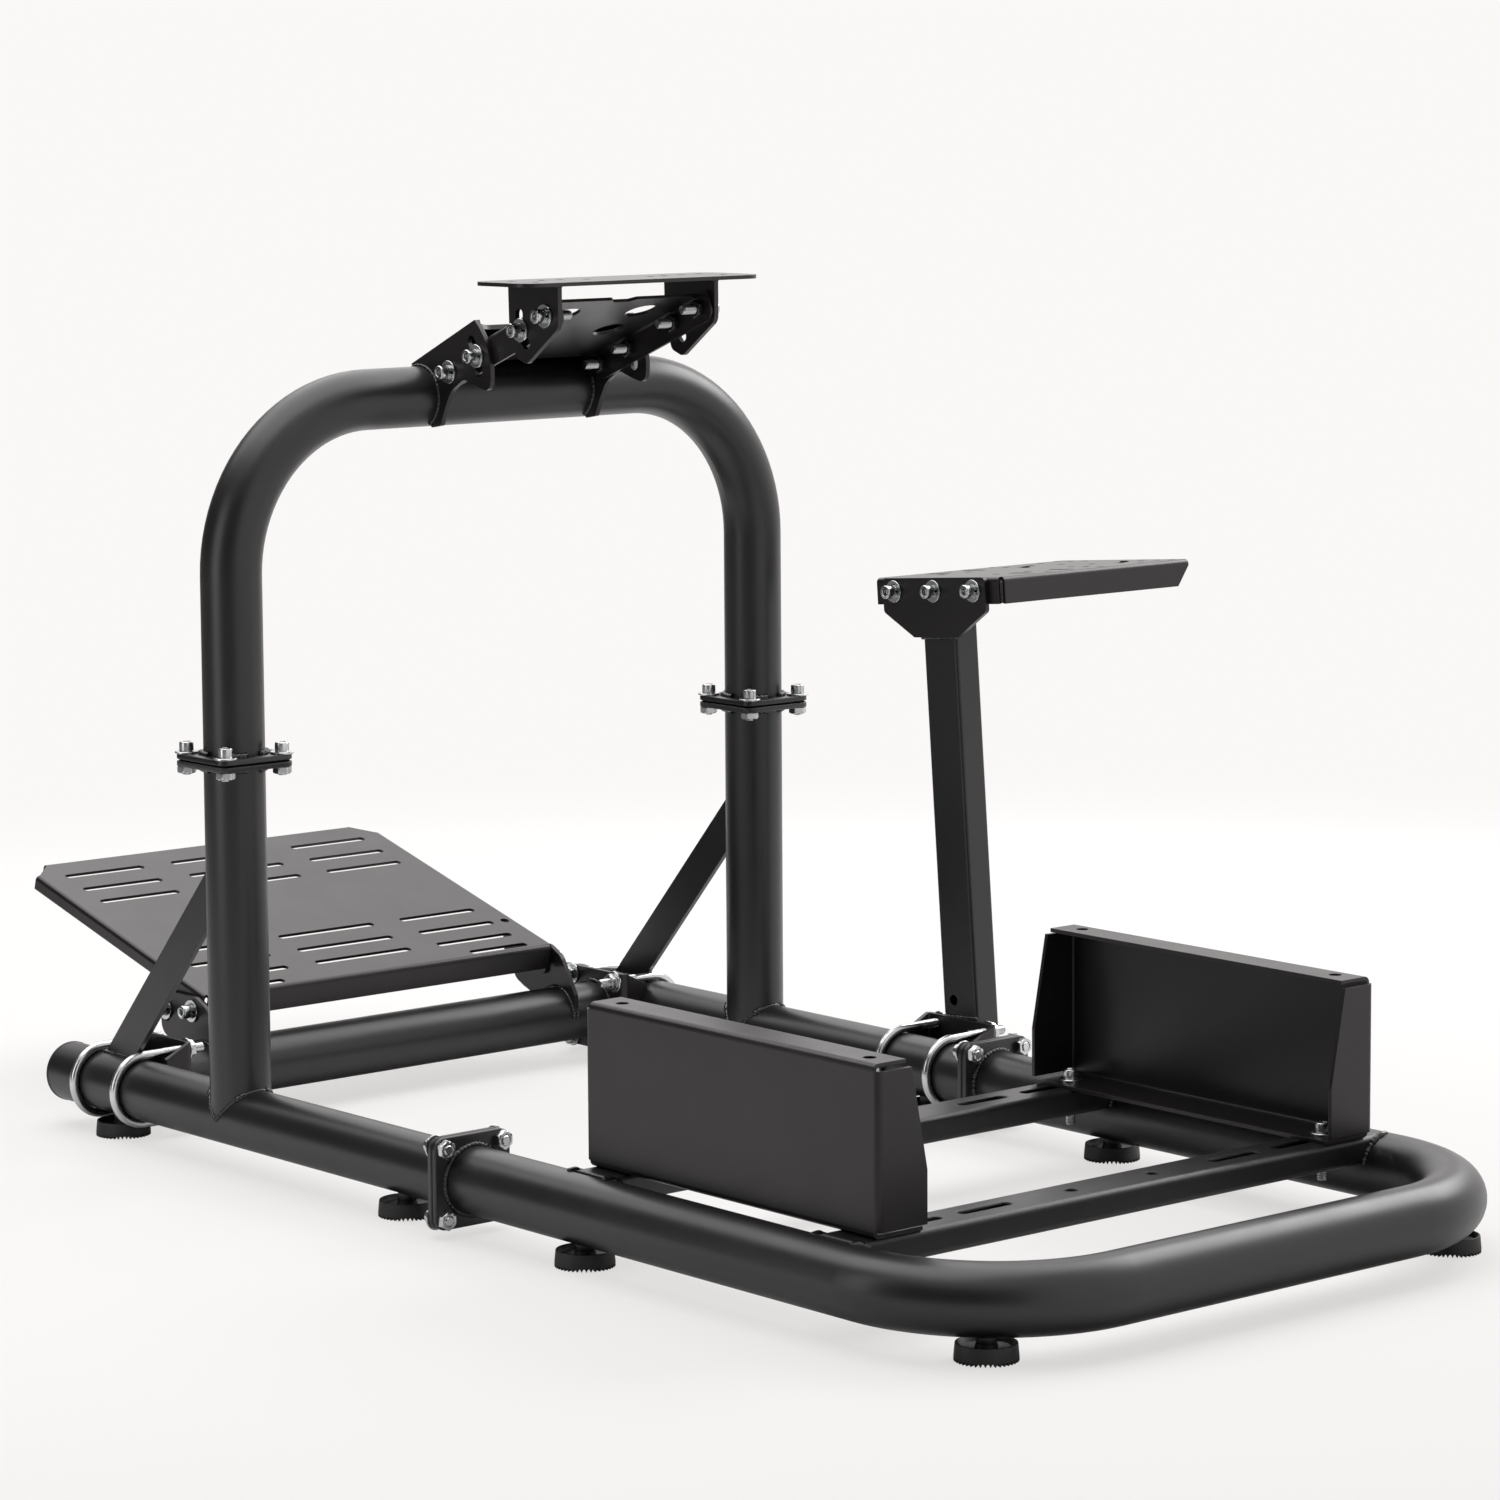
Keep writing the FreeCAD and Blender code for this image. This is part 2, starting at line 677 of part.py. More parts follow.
cradle_line = [at_cradle(0, cradle_top), at_cradle(2 * cradle_rear_r, cradle_top), *cradle_heel, *cradle_leg]
cradle = plate_x(cradle_line, cradle_x, mount_t)
cradle.translate(V(0, upright_y, arch_z))
cradle = cradle.common(rod(V(-rail_half, arm_y, arm_z), V(0, arm_y, arm_z), cradle_rear_r))
arm_slot = arc_slot(arm_holes[1], 2 * (pin_r + slot_play),
                    180 - arm_tilt - arm_sweep, 180 - arm_tilt + arm_sweep)
cradle = cradle.cut([rod(V(-rail_half, upright_y, arch_z), V(rail_half, upright_y, arch_z), tube_r),
                     to_yz(arm_slot, cradle_x, arm_y, arm_z), pivot_bore(arm_y, arm_z)])
parts["left_wheel_cradle"] = cradle
parts["right_wheel_cradle"] = mirror_x(cradle)
arm_through = face_play + mount_t + arm_t
parts["arm_bolts"] = both_sides([joint_bolt(cradle_x, arm_through, *at_arm(s)) for s in arm_holes[:2]])

# Bridge that joins the cradles over the arm, its rear edge hollowed between their tips
pivot_along = arm_pivot[1] * lean_z - arm_pivot[0] * lean_y
pivot_height = arm_pivot[1] * lean_y + arm_pivot[0] * lean_z
tip_along = pivot_along + math.sqrt(cradle_rear_r ** 2 - (cradle_top - pivot_height) ** 2)
bridge_half = arm_half + face_play
bridge_edge = -tip_along + bridge_back
hollow = [(-bridge_half, bridge_edge - 2 * bridge_corner), (-bridge_half, bridge_edge, bridge_corner),
          (bridge_half, bridge_edge, bridge_corner), (bridge_half, bridge_edge - 2 * bridge_corner)]
bridge = box(-bridge_half, bridge_half, -tip_along, 0, -mount_t, 0)
bridge = bridge.cut(plate_z(hollow, -arm_d, 2 * arm_d))
bridge.rotate(V(0, 0, 0), V(1, 0, 0), -cradle_rise)
front_y, front_z = at_cradle(0, cradle_top)
bridge.translate(V(0, upright_y + front_y, arch_z + front_z))
parts["wheel_cradle_bridge"] = bridge

# Wheel plate and its hangers
plate_y0, plate_z0 = at_arm(arm_holes[3])
hanger_line = [(hanger_ends[0], hanger_top), (hanger_ends[1], hanger_top), *hanger_foot]
hanger = plate_x(hanger_line, cradle_x, mount_t)
hanger.translate(V(0, plate_y0, plate_z0))
hanger_slot = arc_slot(arm_holes[3] - arm_holes[2], 2 * (pin_r + slot_play),
                       -arm_tilt - plate_sweep, -arm_tilt + plate_sweep)
hanger = hanger.cut([to_yz(hanger_slot, cradle_x, plate_y0, plate_z0), pivot_bore(plate_y0, plate_z0)])
parts["left_wheel_hanger"] = hanger
parts["right_wheel_hanger"] = mirror_x(hanger)
parts["plate_bolts"] = both_sides([joint_bolt(cradle_x, arm_through, *at_arm(s)) for s in arm_holes[2:]])
top_plate = plate_z(square(plate_w / 2, plate_d / 2, plate_corner), 0, plate_t)
plate_spots = [(s * x, y) for s in (-1, 1) for x, y in plate_holes]
top_plate = top_plate.cut(holes_z(plate_spots, plate_hole_r, -past, plate_t + past))
top_plate.translate(V(0, plate_y0 + plate_ahead, plate_z0 + hanger_top))
parts["wheel_plate"] = top_plate

# Pedal tray, drawn level with its pivot at the origin
tray_y = cross_y + tray_pivot[0]
tray_z = rail_z + tray_pivot[1]
tray_half = tray_w / 2
tray_rear = -tray_back
tray_front = tray_rear + tray_l
tray = folded(tray_w, tray_l, tray_t, tray_fold, (tray_lip, tray_lip, tray_rear_lip, tray_lip))
tray.translate(V(0, (tray_rear + tray_front) / 2, tray_drop))
relief = [(tray_half - tray_relief, tray_front + past), (tray_half - tray_relief, tray_front - tray_fold),
          (tray_half - tray_fold, tray_front - tray_relief), (tray_half + past, tray_front - tray_relief),
          (tray_half + past, tray_front + past)]
snip = plate_z(relief, tray_drop - 2 * tray_lip, 3 * tray_lip)
tray = tray.cut([snip, mirror_x(snip)])
hold_y, hold_z = polar(tray_reach, tray_reach_a - tray_tilt)
ear_top = tray_drop - tray_lip + past
ear_round = 0.8 * tray_ear
ear_line = [(tray_rear + tray_fold, ear_top), (hold_y + 2 * tray_ear, ear_top),
            (hold_y + tray_ear, hold_z - tray_ear, ear_round),
            (hold_y - tray_ear, hold_z - tray_ear, ear_round),
            (tray_rear + tray_fold, -tray_ear, tray_ear / 2)]
ear = plate_x(ear_line, -tray_half, tray_t)
tray = tray.fuse([ear, mirror_x(ear)]).removeSplitter()
tray_cuts = [rod(V(-tray_w, y, z), V(tray_w, y, z), pin_r) for y, z in ((0, 0), (hold_y, hold_z))]
for row, along in enumerate(tray_rows):
    y = tray_rear + along
    r = tray_slot_w / 2
    near, far = tray_side if row else tray_short
    for s in (-1, 1):
        tray_cuts.append(slot_z((s * (near + r), y), (s * (far - r), y), tray_slot_w, 0, tray_l))
    if row:
        tray_cuts.append(slot_z((r - tray_mid, y), (tray_mid - r, y), tray_slot_w, 0, tray_l))
hole_y = tray_rear + tray_rows[2]
tray_cuts += holes_z([(s * (tray_half - tray_hole_in), hole_y) for s in (-1, 1)], tray_hole_r, 0, tray_l)
tray = tray.cut(tray_cuts)
tray.rotate(V(0, 0, 0), V(1, 0, 0), tray_tilt)
tray.translate(V(0, tray_y, tray_z))
parts["pedal_tray"] = tray

# Pedal brackets on the cross tube
bracket_x = -tray_half - face_play - bracket_t
bracket = plate_x([(-bracket_foot, 0), *bracket_line, (bracket_foot, 0)], bracket_x, bracket_t)
bracket.translate(V(0, cross_y, rail_z))
tray_slot = arc_slot(tray_reach, 2 * (pin_r + slot_play),
                     tray_reach_a - tray_sweep, tray_reach_a + tray_sweep)
bracket = bracket.cut([cross_body, to_yz(tray_slot, bracket_x, tray_y, tray_z), pivot_bore(tray_y, tray_z)])
parts["left_pedal_bracket"] = bracket
parts["right_pedal_bracket"] = mirror_x(bracket)
slot_y, slot_up = polar(tray_reach, tray_reach_a)
tray_through = face_play + bracket_t + tray_t
bolt_spots = [(tray_y, tray_z), (tray_y + slot_y, tray_z + slot_up)]
parts["pedal_bolts"] = both_sides([joint_bolt(bracket_x, tray_through, y, z) for y, z in bolt_spots])

# Shifter post, gusset and deck, drawn upright and then leaned forward
post_x = rail_half + plate_out
lean_at = V(0, shift_y, post_foot)
post_top = deck_z - deck_lip - past
post = box(post_x, post_x + post_d, shift_y - post_w / 2, shift_y + post_w / 2, post_foot, post_top)
post = round_edges(post, stock_corner, lambda c: abs(c.z - (post_foot + post_top) / 2) < 1)
vent = V(post_x - past, shift_y + post_vent[0], post_foot + post_vent[1])
post = post.cut([box(post_x + post_wall, post_x + post_d - post_wall, shift_y - post_w / 2 + post_wall,
                     shift_y + post_w / 2 - post_wall, post_foot - past, post_top + past),
                 rod(vent, vent.add(V(post_d / 2, 0, 0)), post_vent[2])])
parts["shifter_post"] = turn_x(post, -post_lean, lean_at)
gusset_line = []
for s in (-1, 1):
    half_line = [(s * gusset_w / 2, 0, gusset_corner), (s * gusset_w / 2, -gusset_side, gusset_corner),
                 (s * gusset_foot_w / 2, -gusset_h, gusset_corner)]
    gusset_line += half_line[::-s]
gusset = plate_x(gusset_line, post_x - gusset_t, gusset_t)
gusset.translate(V(0, shift_y, deck_z))
bolt_z = deck_z - gusset_bolt_z
bolt_drills = []
for y in (shift_y - gusset_pitch, shift_y, shift_y + gusset_pitch):
    bolt_drills.append(rod(V(rail_half, y, bolt_z), V(post_x + 2 * deck_fold, y, bolt_z), bolt_hole_r))
parts["shifter_gusset"] = turn_x(gusset.cut(bolt_drills), -post_lean, lean_at)

deck = folded(deck_l, deck_w, deck_t, deck_fold, (deck_lip, 0, deck_lip, deck_lip))
deck.translate(V(post_x + deck_l / 2, shift_y, deck_z))
deck_end = post_x + deck_l
deck_low = deck_z - deck_lip - past
end_snip = [(deck_end + past, deck_z - deck_tip), (deck_end - deck_taper, deck_low),
            (deck_end + past, deck_low)]
deck_cuts = bolt_drills + [plate_y(end_snip, shift_y - deck_w, 2 * deck_w)]
deck_span = (deck_z - deck_fold, deck_z + past)
for s in (-1, 1):
    for x, y0, y1 in deck_slots:
        ends = [(post_x + x, shift_y + s * y) for y in (y0, y1)]
        deck_cuts.append(slot_z(*ends, deck_slot_w, *deck_span))
    deck_cuts += holes_z([(post_x + x, shift_y + s * y) for x, y in deck_holes], deck_hole_r, *deck_span)
for start, end in deck_ring_arcs:
    ring = arc_slot(deck_ring_r, deck_slot_w, start, end)
    ring.translate(V(post_x + deck_ring_x, shift_y, deck_z))
    deck_cuts.append(ring)
parts["shifter_deck"] = turn_x(deck.cut(deck_cuts), -post_lean, lean_at)

# Put the origin at the middle of the footprint, on the floor
whole = Part.makeCompound(list(parts.values())).optimalBoundingBox(False)
origin = V(-(whole.XMin + whole.XMax) / 2, -(whole.YMin + whole.YMax) / 2, -whole.ZMin)
for name, shape in parts.items():
    moved = shape.copy()
    moved.translate(origin)
    moved.exportStep("parts/" + name + ".step")
print("origin", origin, "size", whole.XLength, whole.YLength, whole.ZLength)
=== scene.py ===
import math

import bpy
from mathutils import Matrix, Vector


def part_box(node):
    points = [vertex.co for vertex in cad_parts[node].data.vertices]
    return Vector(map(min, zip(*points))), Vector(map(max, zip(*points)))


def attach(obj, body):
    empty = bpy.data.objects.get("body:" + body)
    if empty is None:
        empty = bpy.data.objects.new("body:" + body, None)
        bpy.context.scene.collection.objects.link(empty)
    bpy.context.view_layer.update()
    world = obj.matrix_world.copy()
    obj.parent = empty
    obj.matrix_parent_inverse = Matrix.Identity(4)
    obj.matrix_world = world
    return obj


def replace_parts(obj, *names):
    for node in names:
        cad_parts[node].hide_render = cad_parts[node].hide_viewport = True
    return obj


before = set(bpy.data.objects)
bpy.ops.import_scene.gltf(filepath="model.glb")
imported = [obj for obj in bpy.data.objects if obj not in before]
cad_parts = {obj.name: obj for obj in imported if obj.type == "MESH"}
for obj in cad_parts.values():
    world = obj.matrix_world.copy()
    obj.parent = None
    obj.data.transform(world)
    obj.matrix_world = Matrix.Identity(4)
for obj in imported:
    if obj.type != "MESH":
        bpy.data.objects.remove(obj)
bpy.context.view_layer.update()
scene = bpy.context.scene
scene.view_settings.view_transform = "Standard"

# Sizes in mm, in the source's own frame: X 0 is the centre line, Y 0 the rear tube axis and Z 0 the floor
MM = 0.001
SIDES = (-1, 1)
X_WAY = (1, 0, 0)
Y_WAY = (0, 1, 0)
Z_WAY = (0, 0, 1)

# Tubes, flanges and braces
RAIL_X = 265.0
RAIL_Z = 41.0
TUBE_R = 24.0
TUBE_WALL = 2.0
LOOP_R = 25.4
LOOP_BEND = 120.0
UPRIGHT_Y = 847.0
ARCH_Z = 596.0
CROSS_Y = 1014.5
JOINT_Y = 553.0
JOINT_Z = 323.0
FLANGE_T = 5.0
FLANGE_PITCH = 53.0
FLANGE_MARGIN = 8.0
FLANGE_HALF = FLANGE_PITCH / 2 + FLANGE_MARGIN
FLANGE_CORNER = 9.0
FLANGE_SPOTS = [(u * FLANGE_PITCH / 2, v * FLANGE_PITCH / 2) for u in SIDES for v in SIDES]
BRACE_W = 30.0
BRACE_T = 4.5
BRACE_RISE = math.radians(48.0)

# Feet and end caps
FOOT_YS = (417.0, 630.0, CROSS_Y)
PAD_R = 22.0
PAD_H = 12.5
PAD_BOSS_R = 8.0
PAD_HOLE_R = 4.0
PAD_FLOOR = 2.6
TEETH = 40
TOOTH_H = 2.4
TOOTH_W = 5.0
CAP_Y = 1088.0
CAP_T = 3.5
CAP_PLUG = 10.0

# Seat bars and brackets
BAR_YS = (150.0, 415.0)
BAR_TOP = RAIL_Z + LOOP_R
BAR_W = 40.0
BAR_H = 20.0
SEAT_BOLT_X = 217.5
SEAT_T = 3.0

# Clamps and their U-bolts
CLAMP_IN = TUBE_R + 13.5
CLAMP_OUT = CLAMP_IN + 4.0
CLAMP_TOP = RAIL_Z + 35.0
ROD_LINE = TUBE_R + 3.6
ROD_R = 3.5
ROD_PITCH = 58.5
ROD_OUT = 16.0
ROD_PAST = 1.0
ROD_COVER = 0.35
ROD_THREAD = 22.0

# Wheel mount
FACE_PLAY = 0.2
MOUNT_T = 4.0
ARM_T = 2.5
ARM_X = 76.0
ARM_TILT = math.radians(21.3)
ARM_HOLES = (0.0, 38.4, 99.2, 131.8)
ARM_Y = UPRIGHT_Y - 38.0
ARM_Z = ARCH_Z + 20.8
ARM_THROUGH = FACE_PLAY + MOUNT_T + ARM_T
CRADLE_X = ARM_X + FACE_PLAY + MOUNT_T
CRADLE_RISE = math.radians(24.3)
CRADLE_LEG = math.radians(240.0)
HANGER_TOP = 23.5
HANGER_ENDS = (-16.0, 46.0)

# Pedal tray
TRAY_X = 182.0
TRAY_T = 2.5
TRAY_Y = CROSS_Y + 15.0
TRAY_Z = RAIL_Z + 48.0
TRAY_REACH = 38.0
TRAY_REACH_A = math.radians(-4.5)
TRAY_THROUGH = FACE_PLAY + MOUNT_T + TRAY_T
BRACKET_X = TRAY_X + FACE_PLAY + MOUNT_T

# Shifter post and deck
SHIFT_Y = 632.0
POST_X = RAIL_X + CLAMP_OUT
POST_W = 40.0
POST_FOOT = 26.0
POST_LEAN = math.radians(4.5)
POST_TOP = 416.0
DECK_Z = 439.0
DECK_T = 2.5
DECK_W = 154.0
DECK_LIP = 22.0
DECK_FOLD = 4.0
DECK_CORNER = 3.25
GUSSET_T = 4.0
GUSSET_H = 49.0
GUSSET_PITCH = 47.5
GUSSET_BOLT_Z = 11.0

# Hardware: the tips are bare thread past a nut or washer
BOLT_R = 4.0
THREAD_PITCH = 1.25
THREAD_DEEP = 0.62
THREAD_END = 0.6
THREAD_SUNK = 1.0
WASHER_R = 9.2
WASHER_T = 1.6
WIDE_WASHER_R = 11.0
SPRING_R = 6.3
SPRING_T = 1.8
SPRING_LIFT = 0.35
SPRING_GAP = math.radians(9.0)
HEAD_R = 5.6
HEAD_H = 7.4
KNURL_DEEP = 0.16
SOCKET_W = 5.4
SOCKET_DEEP = 4.0
NUT_W = 12.8
NUT_H = 5.6
NUT_ROUND = 0.9
RAIL_TIP = 0.6
UPRIGHT_TIP = 1.2
DECK_TIP = 3.0
SEAT_START = 0.2
SEAT_TIP = 10.0
MOVING_TIP = 12.0

# Weld beads: radii, how far their middles lie off a tube or an end, and the parts of broken seams
TUBE_BEAD = 2.6
STITCH_BEAD = 3.4
SADDLE_BEAD = 1.7
TACK_BEAD = 2.9
BAR_BEAD = 2.7
BRACE_BEAD = 2.0
SHEET_BEAD = 1.9
POST_BEAD = 2.2
GUSSET_BEAD = 2.0
LIP_BEAD = 1.6
HANGER_BEAD = 1.6
TUBE_BEAD_OFF = 0.6
SHEET_BEAD_OFF = 0.4
CREST_OFF = (1.0, 0.5)
POST_END_OFF = 1.0
LIP_END_OFF = 0.6
BEAD_STEP = 0.85
BEAD_SIDES = 10
PUDDLE = 3.4
STITCHES = 5
STITCH_TURN = math.radians(42.0)
SADDLE_TACKS = (0.13, 0.33, 0.63, 0.80)
TACK_SHARE = 0.05

# Angles in degrees above which the edges of a piece are shaded sharp
PIECE_SHARP = 40.0
PLATE_SHARP = 30.0
WELD_SHARP = 80.0

arch_low, arch_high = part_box("wheel_arch_tube")
loop_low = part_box("rear_loop_tube")[0]
CENTRE_X = (arch_low.x + arch_high.x) / 2
REAR_Y = loop_low.y + LOOP_R * MM


def at(x, y, z):
    """Point of the source's frame, in mm, as a point of the scene."""
    return Vector((CENTRE_X + x * MM, REAR_Y + y * MM, z * MM))


# Camera at the photograph's place
LENS_PX = 4941.0
IMAGE_PX = 1500.0
MIDDLE_PX = (697.56, 674.18)
SENSOR = 36.0
FAR_CLIP = 50.0
CAMERA_AT = at(-2425.3, -2296.5, 845.0)
YAW = math.radians(-39.91)
PITCH = math.radians(6.88)
ROLL = math.radians(-0.43)
forward = Vector((-math.sin(YAW) * math.cos(PITCH), math.cos(YAW) * math.cos(PITCH), -math.sin(PITCH)))
level_right = Vector((math.cos(YAW), math.sin(YAW), 0))
level_up = level_right.cross(forward)
right = level_right * math.cos(ROLL) + level_up * math.sin(ROLL)
up = level_up * math.cos(ROLL) - level_right * math.sin(ROLL)
camera_data = bpy.data.cameras.new("camera")
camera_data.sensor_width = SENSOR
camera_data.lens = LENS_PX / IMAGE_PX * SENSOR
camera_data.shift_x = 0.5 - MIDDLE_PX[0] / IMAGE_PX
camera_data.shift_y = MIDDLE_PX[1] / IMAGE_PX - 0.5
camera_data.clip_end = FAR_CLIP
camera = bpy.data.objects.new("camera", camera_data)
turn = Matrix((right, up, -forward)).transposed().to_4x4()
camera.matrix_world = Matrix.Translation(CAMERA_AT) @ turn
scene.collection.objects.link(camera)
scene.camera = camera

# Materials: scale and detail of the noises, and the part of a noise's range that is used
DRIFT = (9.0, 3.0)
PATCH = (30.0, 2.0)
GRAIN_DETAIL = 2.0
NOISE_LOW = 0.3
NOISE_HIGH = 0.7
BUMP_STRENGTH = 0.2
BEVEL_SAMPLES = 4
PLAIN = (1.0, 1.0, 1.0)
WARM = (1.0, 0.955, 0.965)
COOL = (0.98, 0.98, 1.0)


def new_material(name):
    material = bpy.data.materials.new(name)
    material.use_nodes = True
    nodes = material.node_tree.nodes
    return material, nodes, material.node_tree.links, nodes["Principled BSDF"]


def noise(nodes, links, coords, scale, detail):
    node = nodes.new("ShaderNodeTexNoise")
    node.inputs["Scale"].default_value = scale
    node.inputs["Detail"].default_value = detail
    links.new(coords.outputs["Object"], node.inputs["Vector"])
    return node


def spread(nodes, links, source, low, high):
    """Noise stretched to a range of values."""
    node = nodes.new("ShaderNodeMapRange")
    node.inputs["From Min"].default_value = NOISE_LOW
    node.inputs["From Max"].default_value = NOISE_HIGH
    node.inputs["To Min"].default_value = low
    node.inputs["To Max"].default_value = high
    links.new(source.outputs["Fac"], node.inputs["Value"])
    return node


def tint(nodes, links, source, dark, light):
    """Noise stretched between two colours."""
    node = nodes.new("ShaderNodeValToRGB")
    node.color_ramp.elements[0].position = NOISE_LOW
    node.color_ramp.elements[0].color = (*dark, 1)
    node.color_ramp.elements[1].position = NOISE_HIGH
    node.color_ramp.elements[1].color = (*light, 1)
    links.new(source.outputs["Fac"], node.inputs["Fac"])
    return node


def bumped(nodes, links, shader, source, height, edge):
    """Bump from a noise, over edges that look rounded by the coating where there is one."""
    bump = nodes.new("ShaderNodeBump")
    bump.inputs["Distance"].default_value = height
    bump.inputs["Strength"].default_value = BUMP_STRENGTH
    links.new(source.outputs["Fac"], bump.inputs["Height"])
    if edge:
        bevel = nodes.new("ShaderNodeBevel")
        bevel.samples = BEVEL_SAMPLES
        bevel.inputs["Radius"].default_value = edge
        links.new(bevel.outputs["Normal"], bump.inputs["Normal"])
    links.new(bump.outputs["Normal"], shader.inputs["Normal"])


def surface(name, dark, light, rough, grain, height, edge=0.0, metallic=0.0, specular=0.5, sheen=PLAIN):
    """Noise-driven finish: colour drifts slowly, roughness in patches, grain as bump."""
    material, nodes, links, shader = new_material(name)
    coords = nodes.new("ShaderNodeTexCoord")
    drift = noise(nodes, links, coords, *DRIFT)
    patch = noise(nodes, links, coords, *PATCH)
    fine = noise(nodes, links, coords, grain, GRAIN_DETAIL)
    links.new(tint(nodes, links, drift, dark, light).outputs["Color"], shader.inputs["Base Color"])
    links.new(spread(nodes, links, patch, *rough).outputs["Result"], shader.inputs["Roughness"])
    shader.inputs["Metallic"].default_value = metallic
    shader.inputs["Specular IOR Level"].default_value = specular
    shader.inputs["Specular Tint"].default_value = (*sheen, 1)
    bumped(nodes, links, shader, fine, height, edge)
    return material


POWDER = dict(dark=(0.0070, 0.0062, 0.0064), light=(0.0105, 0.0092, 0.0095), rough=(0.34, 0.38),
              grain=700.0, height=0.00004, specular=0.62, sheen=COOL)
COAT = surface("powder_coat", edge=0.0008, **POWDER)
BAR_COAT = surface("bar_coat", edge=0.0034, **POWDER)
SHEET = surface("sheet_coat", dark=(0.0065, 0.0057, 0.0059), light=(0.0105, 0.0090, 0.0094),
                rough=(0.32, 0.36), grain=700.0, height=0.00004, edge=0.0006, sheen=WARM)
WELD = surface("weld_coat", dark=(0.006, 0.0056, 0.0058), light=(0.013, 0.0118, 0.0124),
               rough=(0.17, 0.28), grain=500.0, height=0.0003, specular=0.6)
ZINC = surface("zinc_plate", dark=(0.45, 0.465, 0.47), light=(0.64, 0.65, 0.655), rough=(0.17, 0.28),
               grain=420.0, height=0.00002, metallic=1.0)
RUBBER = surface("foot_rubber", dark=(0.008, 0.008, 0.008), light=(0.015, 0.0145, 0.0145),
                 rough=(0.50, 0.62), grain=700.0, height=0.00012)
PLASTIC = surface("cap_plastic", dark=(0.008, 0.008, 0.008), light=(0.013, 0.013, 0.013),
                  rough=(0.28, 0.38), grain=800.0, height=0.00005, edge=0.0012)

SHEET_NODES = ("left_seat_bracket", "right_seat_bracket", "wheel_plate", "pedal_tray", "shifter_deck",
               "wheel_arm", "left_wheel_cradle", "right_wheel_cradle", "wheel_cradle_bridge",
               "left_wheel_hanger", "right_wheel_hanger", "left_pedal_bracket", "right_pedal_bracket",
               "shifter_gusset", "left_pedal_clamp", "right_pedal_clamp", "shifter_clamp")
ZINC_NODES = ("left_pedal_u_bolts", "right_pedal_u_bolts", "shifter_u_bolts", "arm_bolts", "plate_bolts",
              "pedal_bolts")
FINISHES = {name: SHEET for name in SHEET_NODES}
FINISHES.update({name: ZINC for name in ZINC_NODES})
FINISHES.update(rear_seat_bar=BAR_COAT, front_seat_bar=BAR_COAT, foot_pads=RUBBER, rail_end_caps=PLASTIC)
for name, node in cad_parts.items():
    node.data.materials.clear()
    node.data.materials.append(FINISHES.get(name, COAT))


# Mesh building
class Form:
    """Mesh of one piece, gathered from skinned rings that are placed in the source's frame."""

    def __init__(self):
        self.points = []
        self.faces = []

    def skin(self, rings, place, closed=False):
        """Skin equal rings in turn; the ends are filled unless the last ring joins the first."""
        first = len(self.points)
        count = len(rings[0])
        for ring in rings:
            self.points += [at(*(place @ Vector(point))) for point in ring]
        for i in range(len(rings) if closed else len(rings) - 1):
            a = first + i * count
            b = first + (i + 1) % len(rings) * count
            for j in range(count):
                k = (j + 1) % count
                self.faces.append((a + j, a + k, b + k, b + j))
        if not closed:
            last = first + (len(rings) - 1) * count
            self.faces.append(tuple(reversed(range(first, first + count))))
            self.faces.append(tuple(range(last, last + count)))

    def piece(self, name, body, material, sharp=PIECE_SHARP):
        """Object of the mesh, on a body and in a material slot."""
        mesh = bpy.data.meshes.new(name)
        mesh.from_pydata(self.points, [], self.faces)
        mesh.materials.append(material)
        mesh.shade_smooth()
        mesh.set_sharp_from_angle(angle=math.radians(sharp))
        thing = bpy.data.objects.new(name, mesh)
        scene.collection.objects.link(thing)
        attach(thing, body)
        return thing


def facing(x, y, z, axis):
    """Matrix that stands a form drawn along +Z on a point, along an axis."""
    turned = Vector(axis).to_track_quat("Z", "Y").to_matrix().to_4x4()
    return Matrix.Translation(Vector((x, y, z))) @ turned


def angles(count):
    return [2 * math.pi * i / count for i in range(count)]


def circle(radius, z, count):
    return [(radius * math.cos(a), radius * math.sin(a), z) for a in angles(count)]


def hexagon(across, limit, z, count):
    """Ring along a hexagon, held inside a circle."""
    ring = []
    for a in angles(count):
        off = (a + math.pi / 6) % (math.pi / 3) - math.pi / 6
        r = min(across / 2 / math.cos(off), limit)
        ring.append((r * math.cos(a), r * math.sin(a), z))
    return ring


# Fasteners, drawn along +Z of their place; those that are stacked return the height that they reach
def flat_washer(form, place, z, radius=WASHER_R):
    count = 48
    edge = 0.3
    inner = BOLT_R + 0.2
    top = z + WASHER_T
    profile = [(inner, z), (radius - edge, z), (radius, z + edge), (radius, top - edge),
               (radius - edge, top), (inner, top)]
    form.skin([circle(r, h, count) for r, h in profile], place, closed=True)
    return top


def spring_washer(form, place, z):
    """Split ring, its two ends a little apart in height."""
    steps = 44
    inner = BOLT_R + 0.15
    arc = 2 * math.pi - 2 * SPRING_GAP
    rings = []
    for i in range(steps + 1):
        share = i / steps
        a = SPRING_GAP + share * arc
        low = z + SPRING_LIFT * share
        high = low + SPRING_T - SPRING_LIFT
        corners = ((inner, low), (SPRING_R, low), (SPRING_R, high), (inner, high))
        rings.append([(r * math.cos(a), r * math.sin(a), h) for r, h in corners])
    form.skin(rings, place)
    return z + SPRING_T


def knurl(radius, z, count):
    """Ring with every second point set back."""
    ring = []
    for i, a in enumerate(angles(count)):
        r = radius - KNURL_DEEP * (i % 2)
        ring.append((r * math.cos(a), r * math.sin(a), z))
    return ring


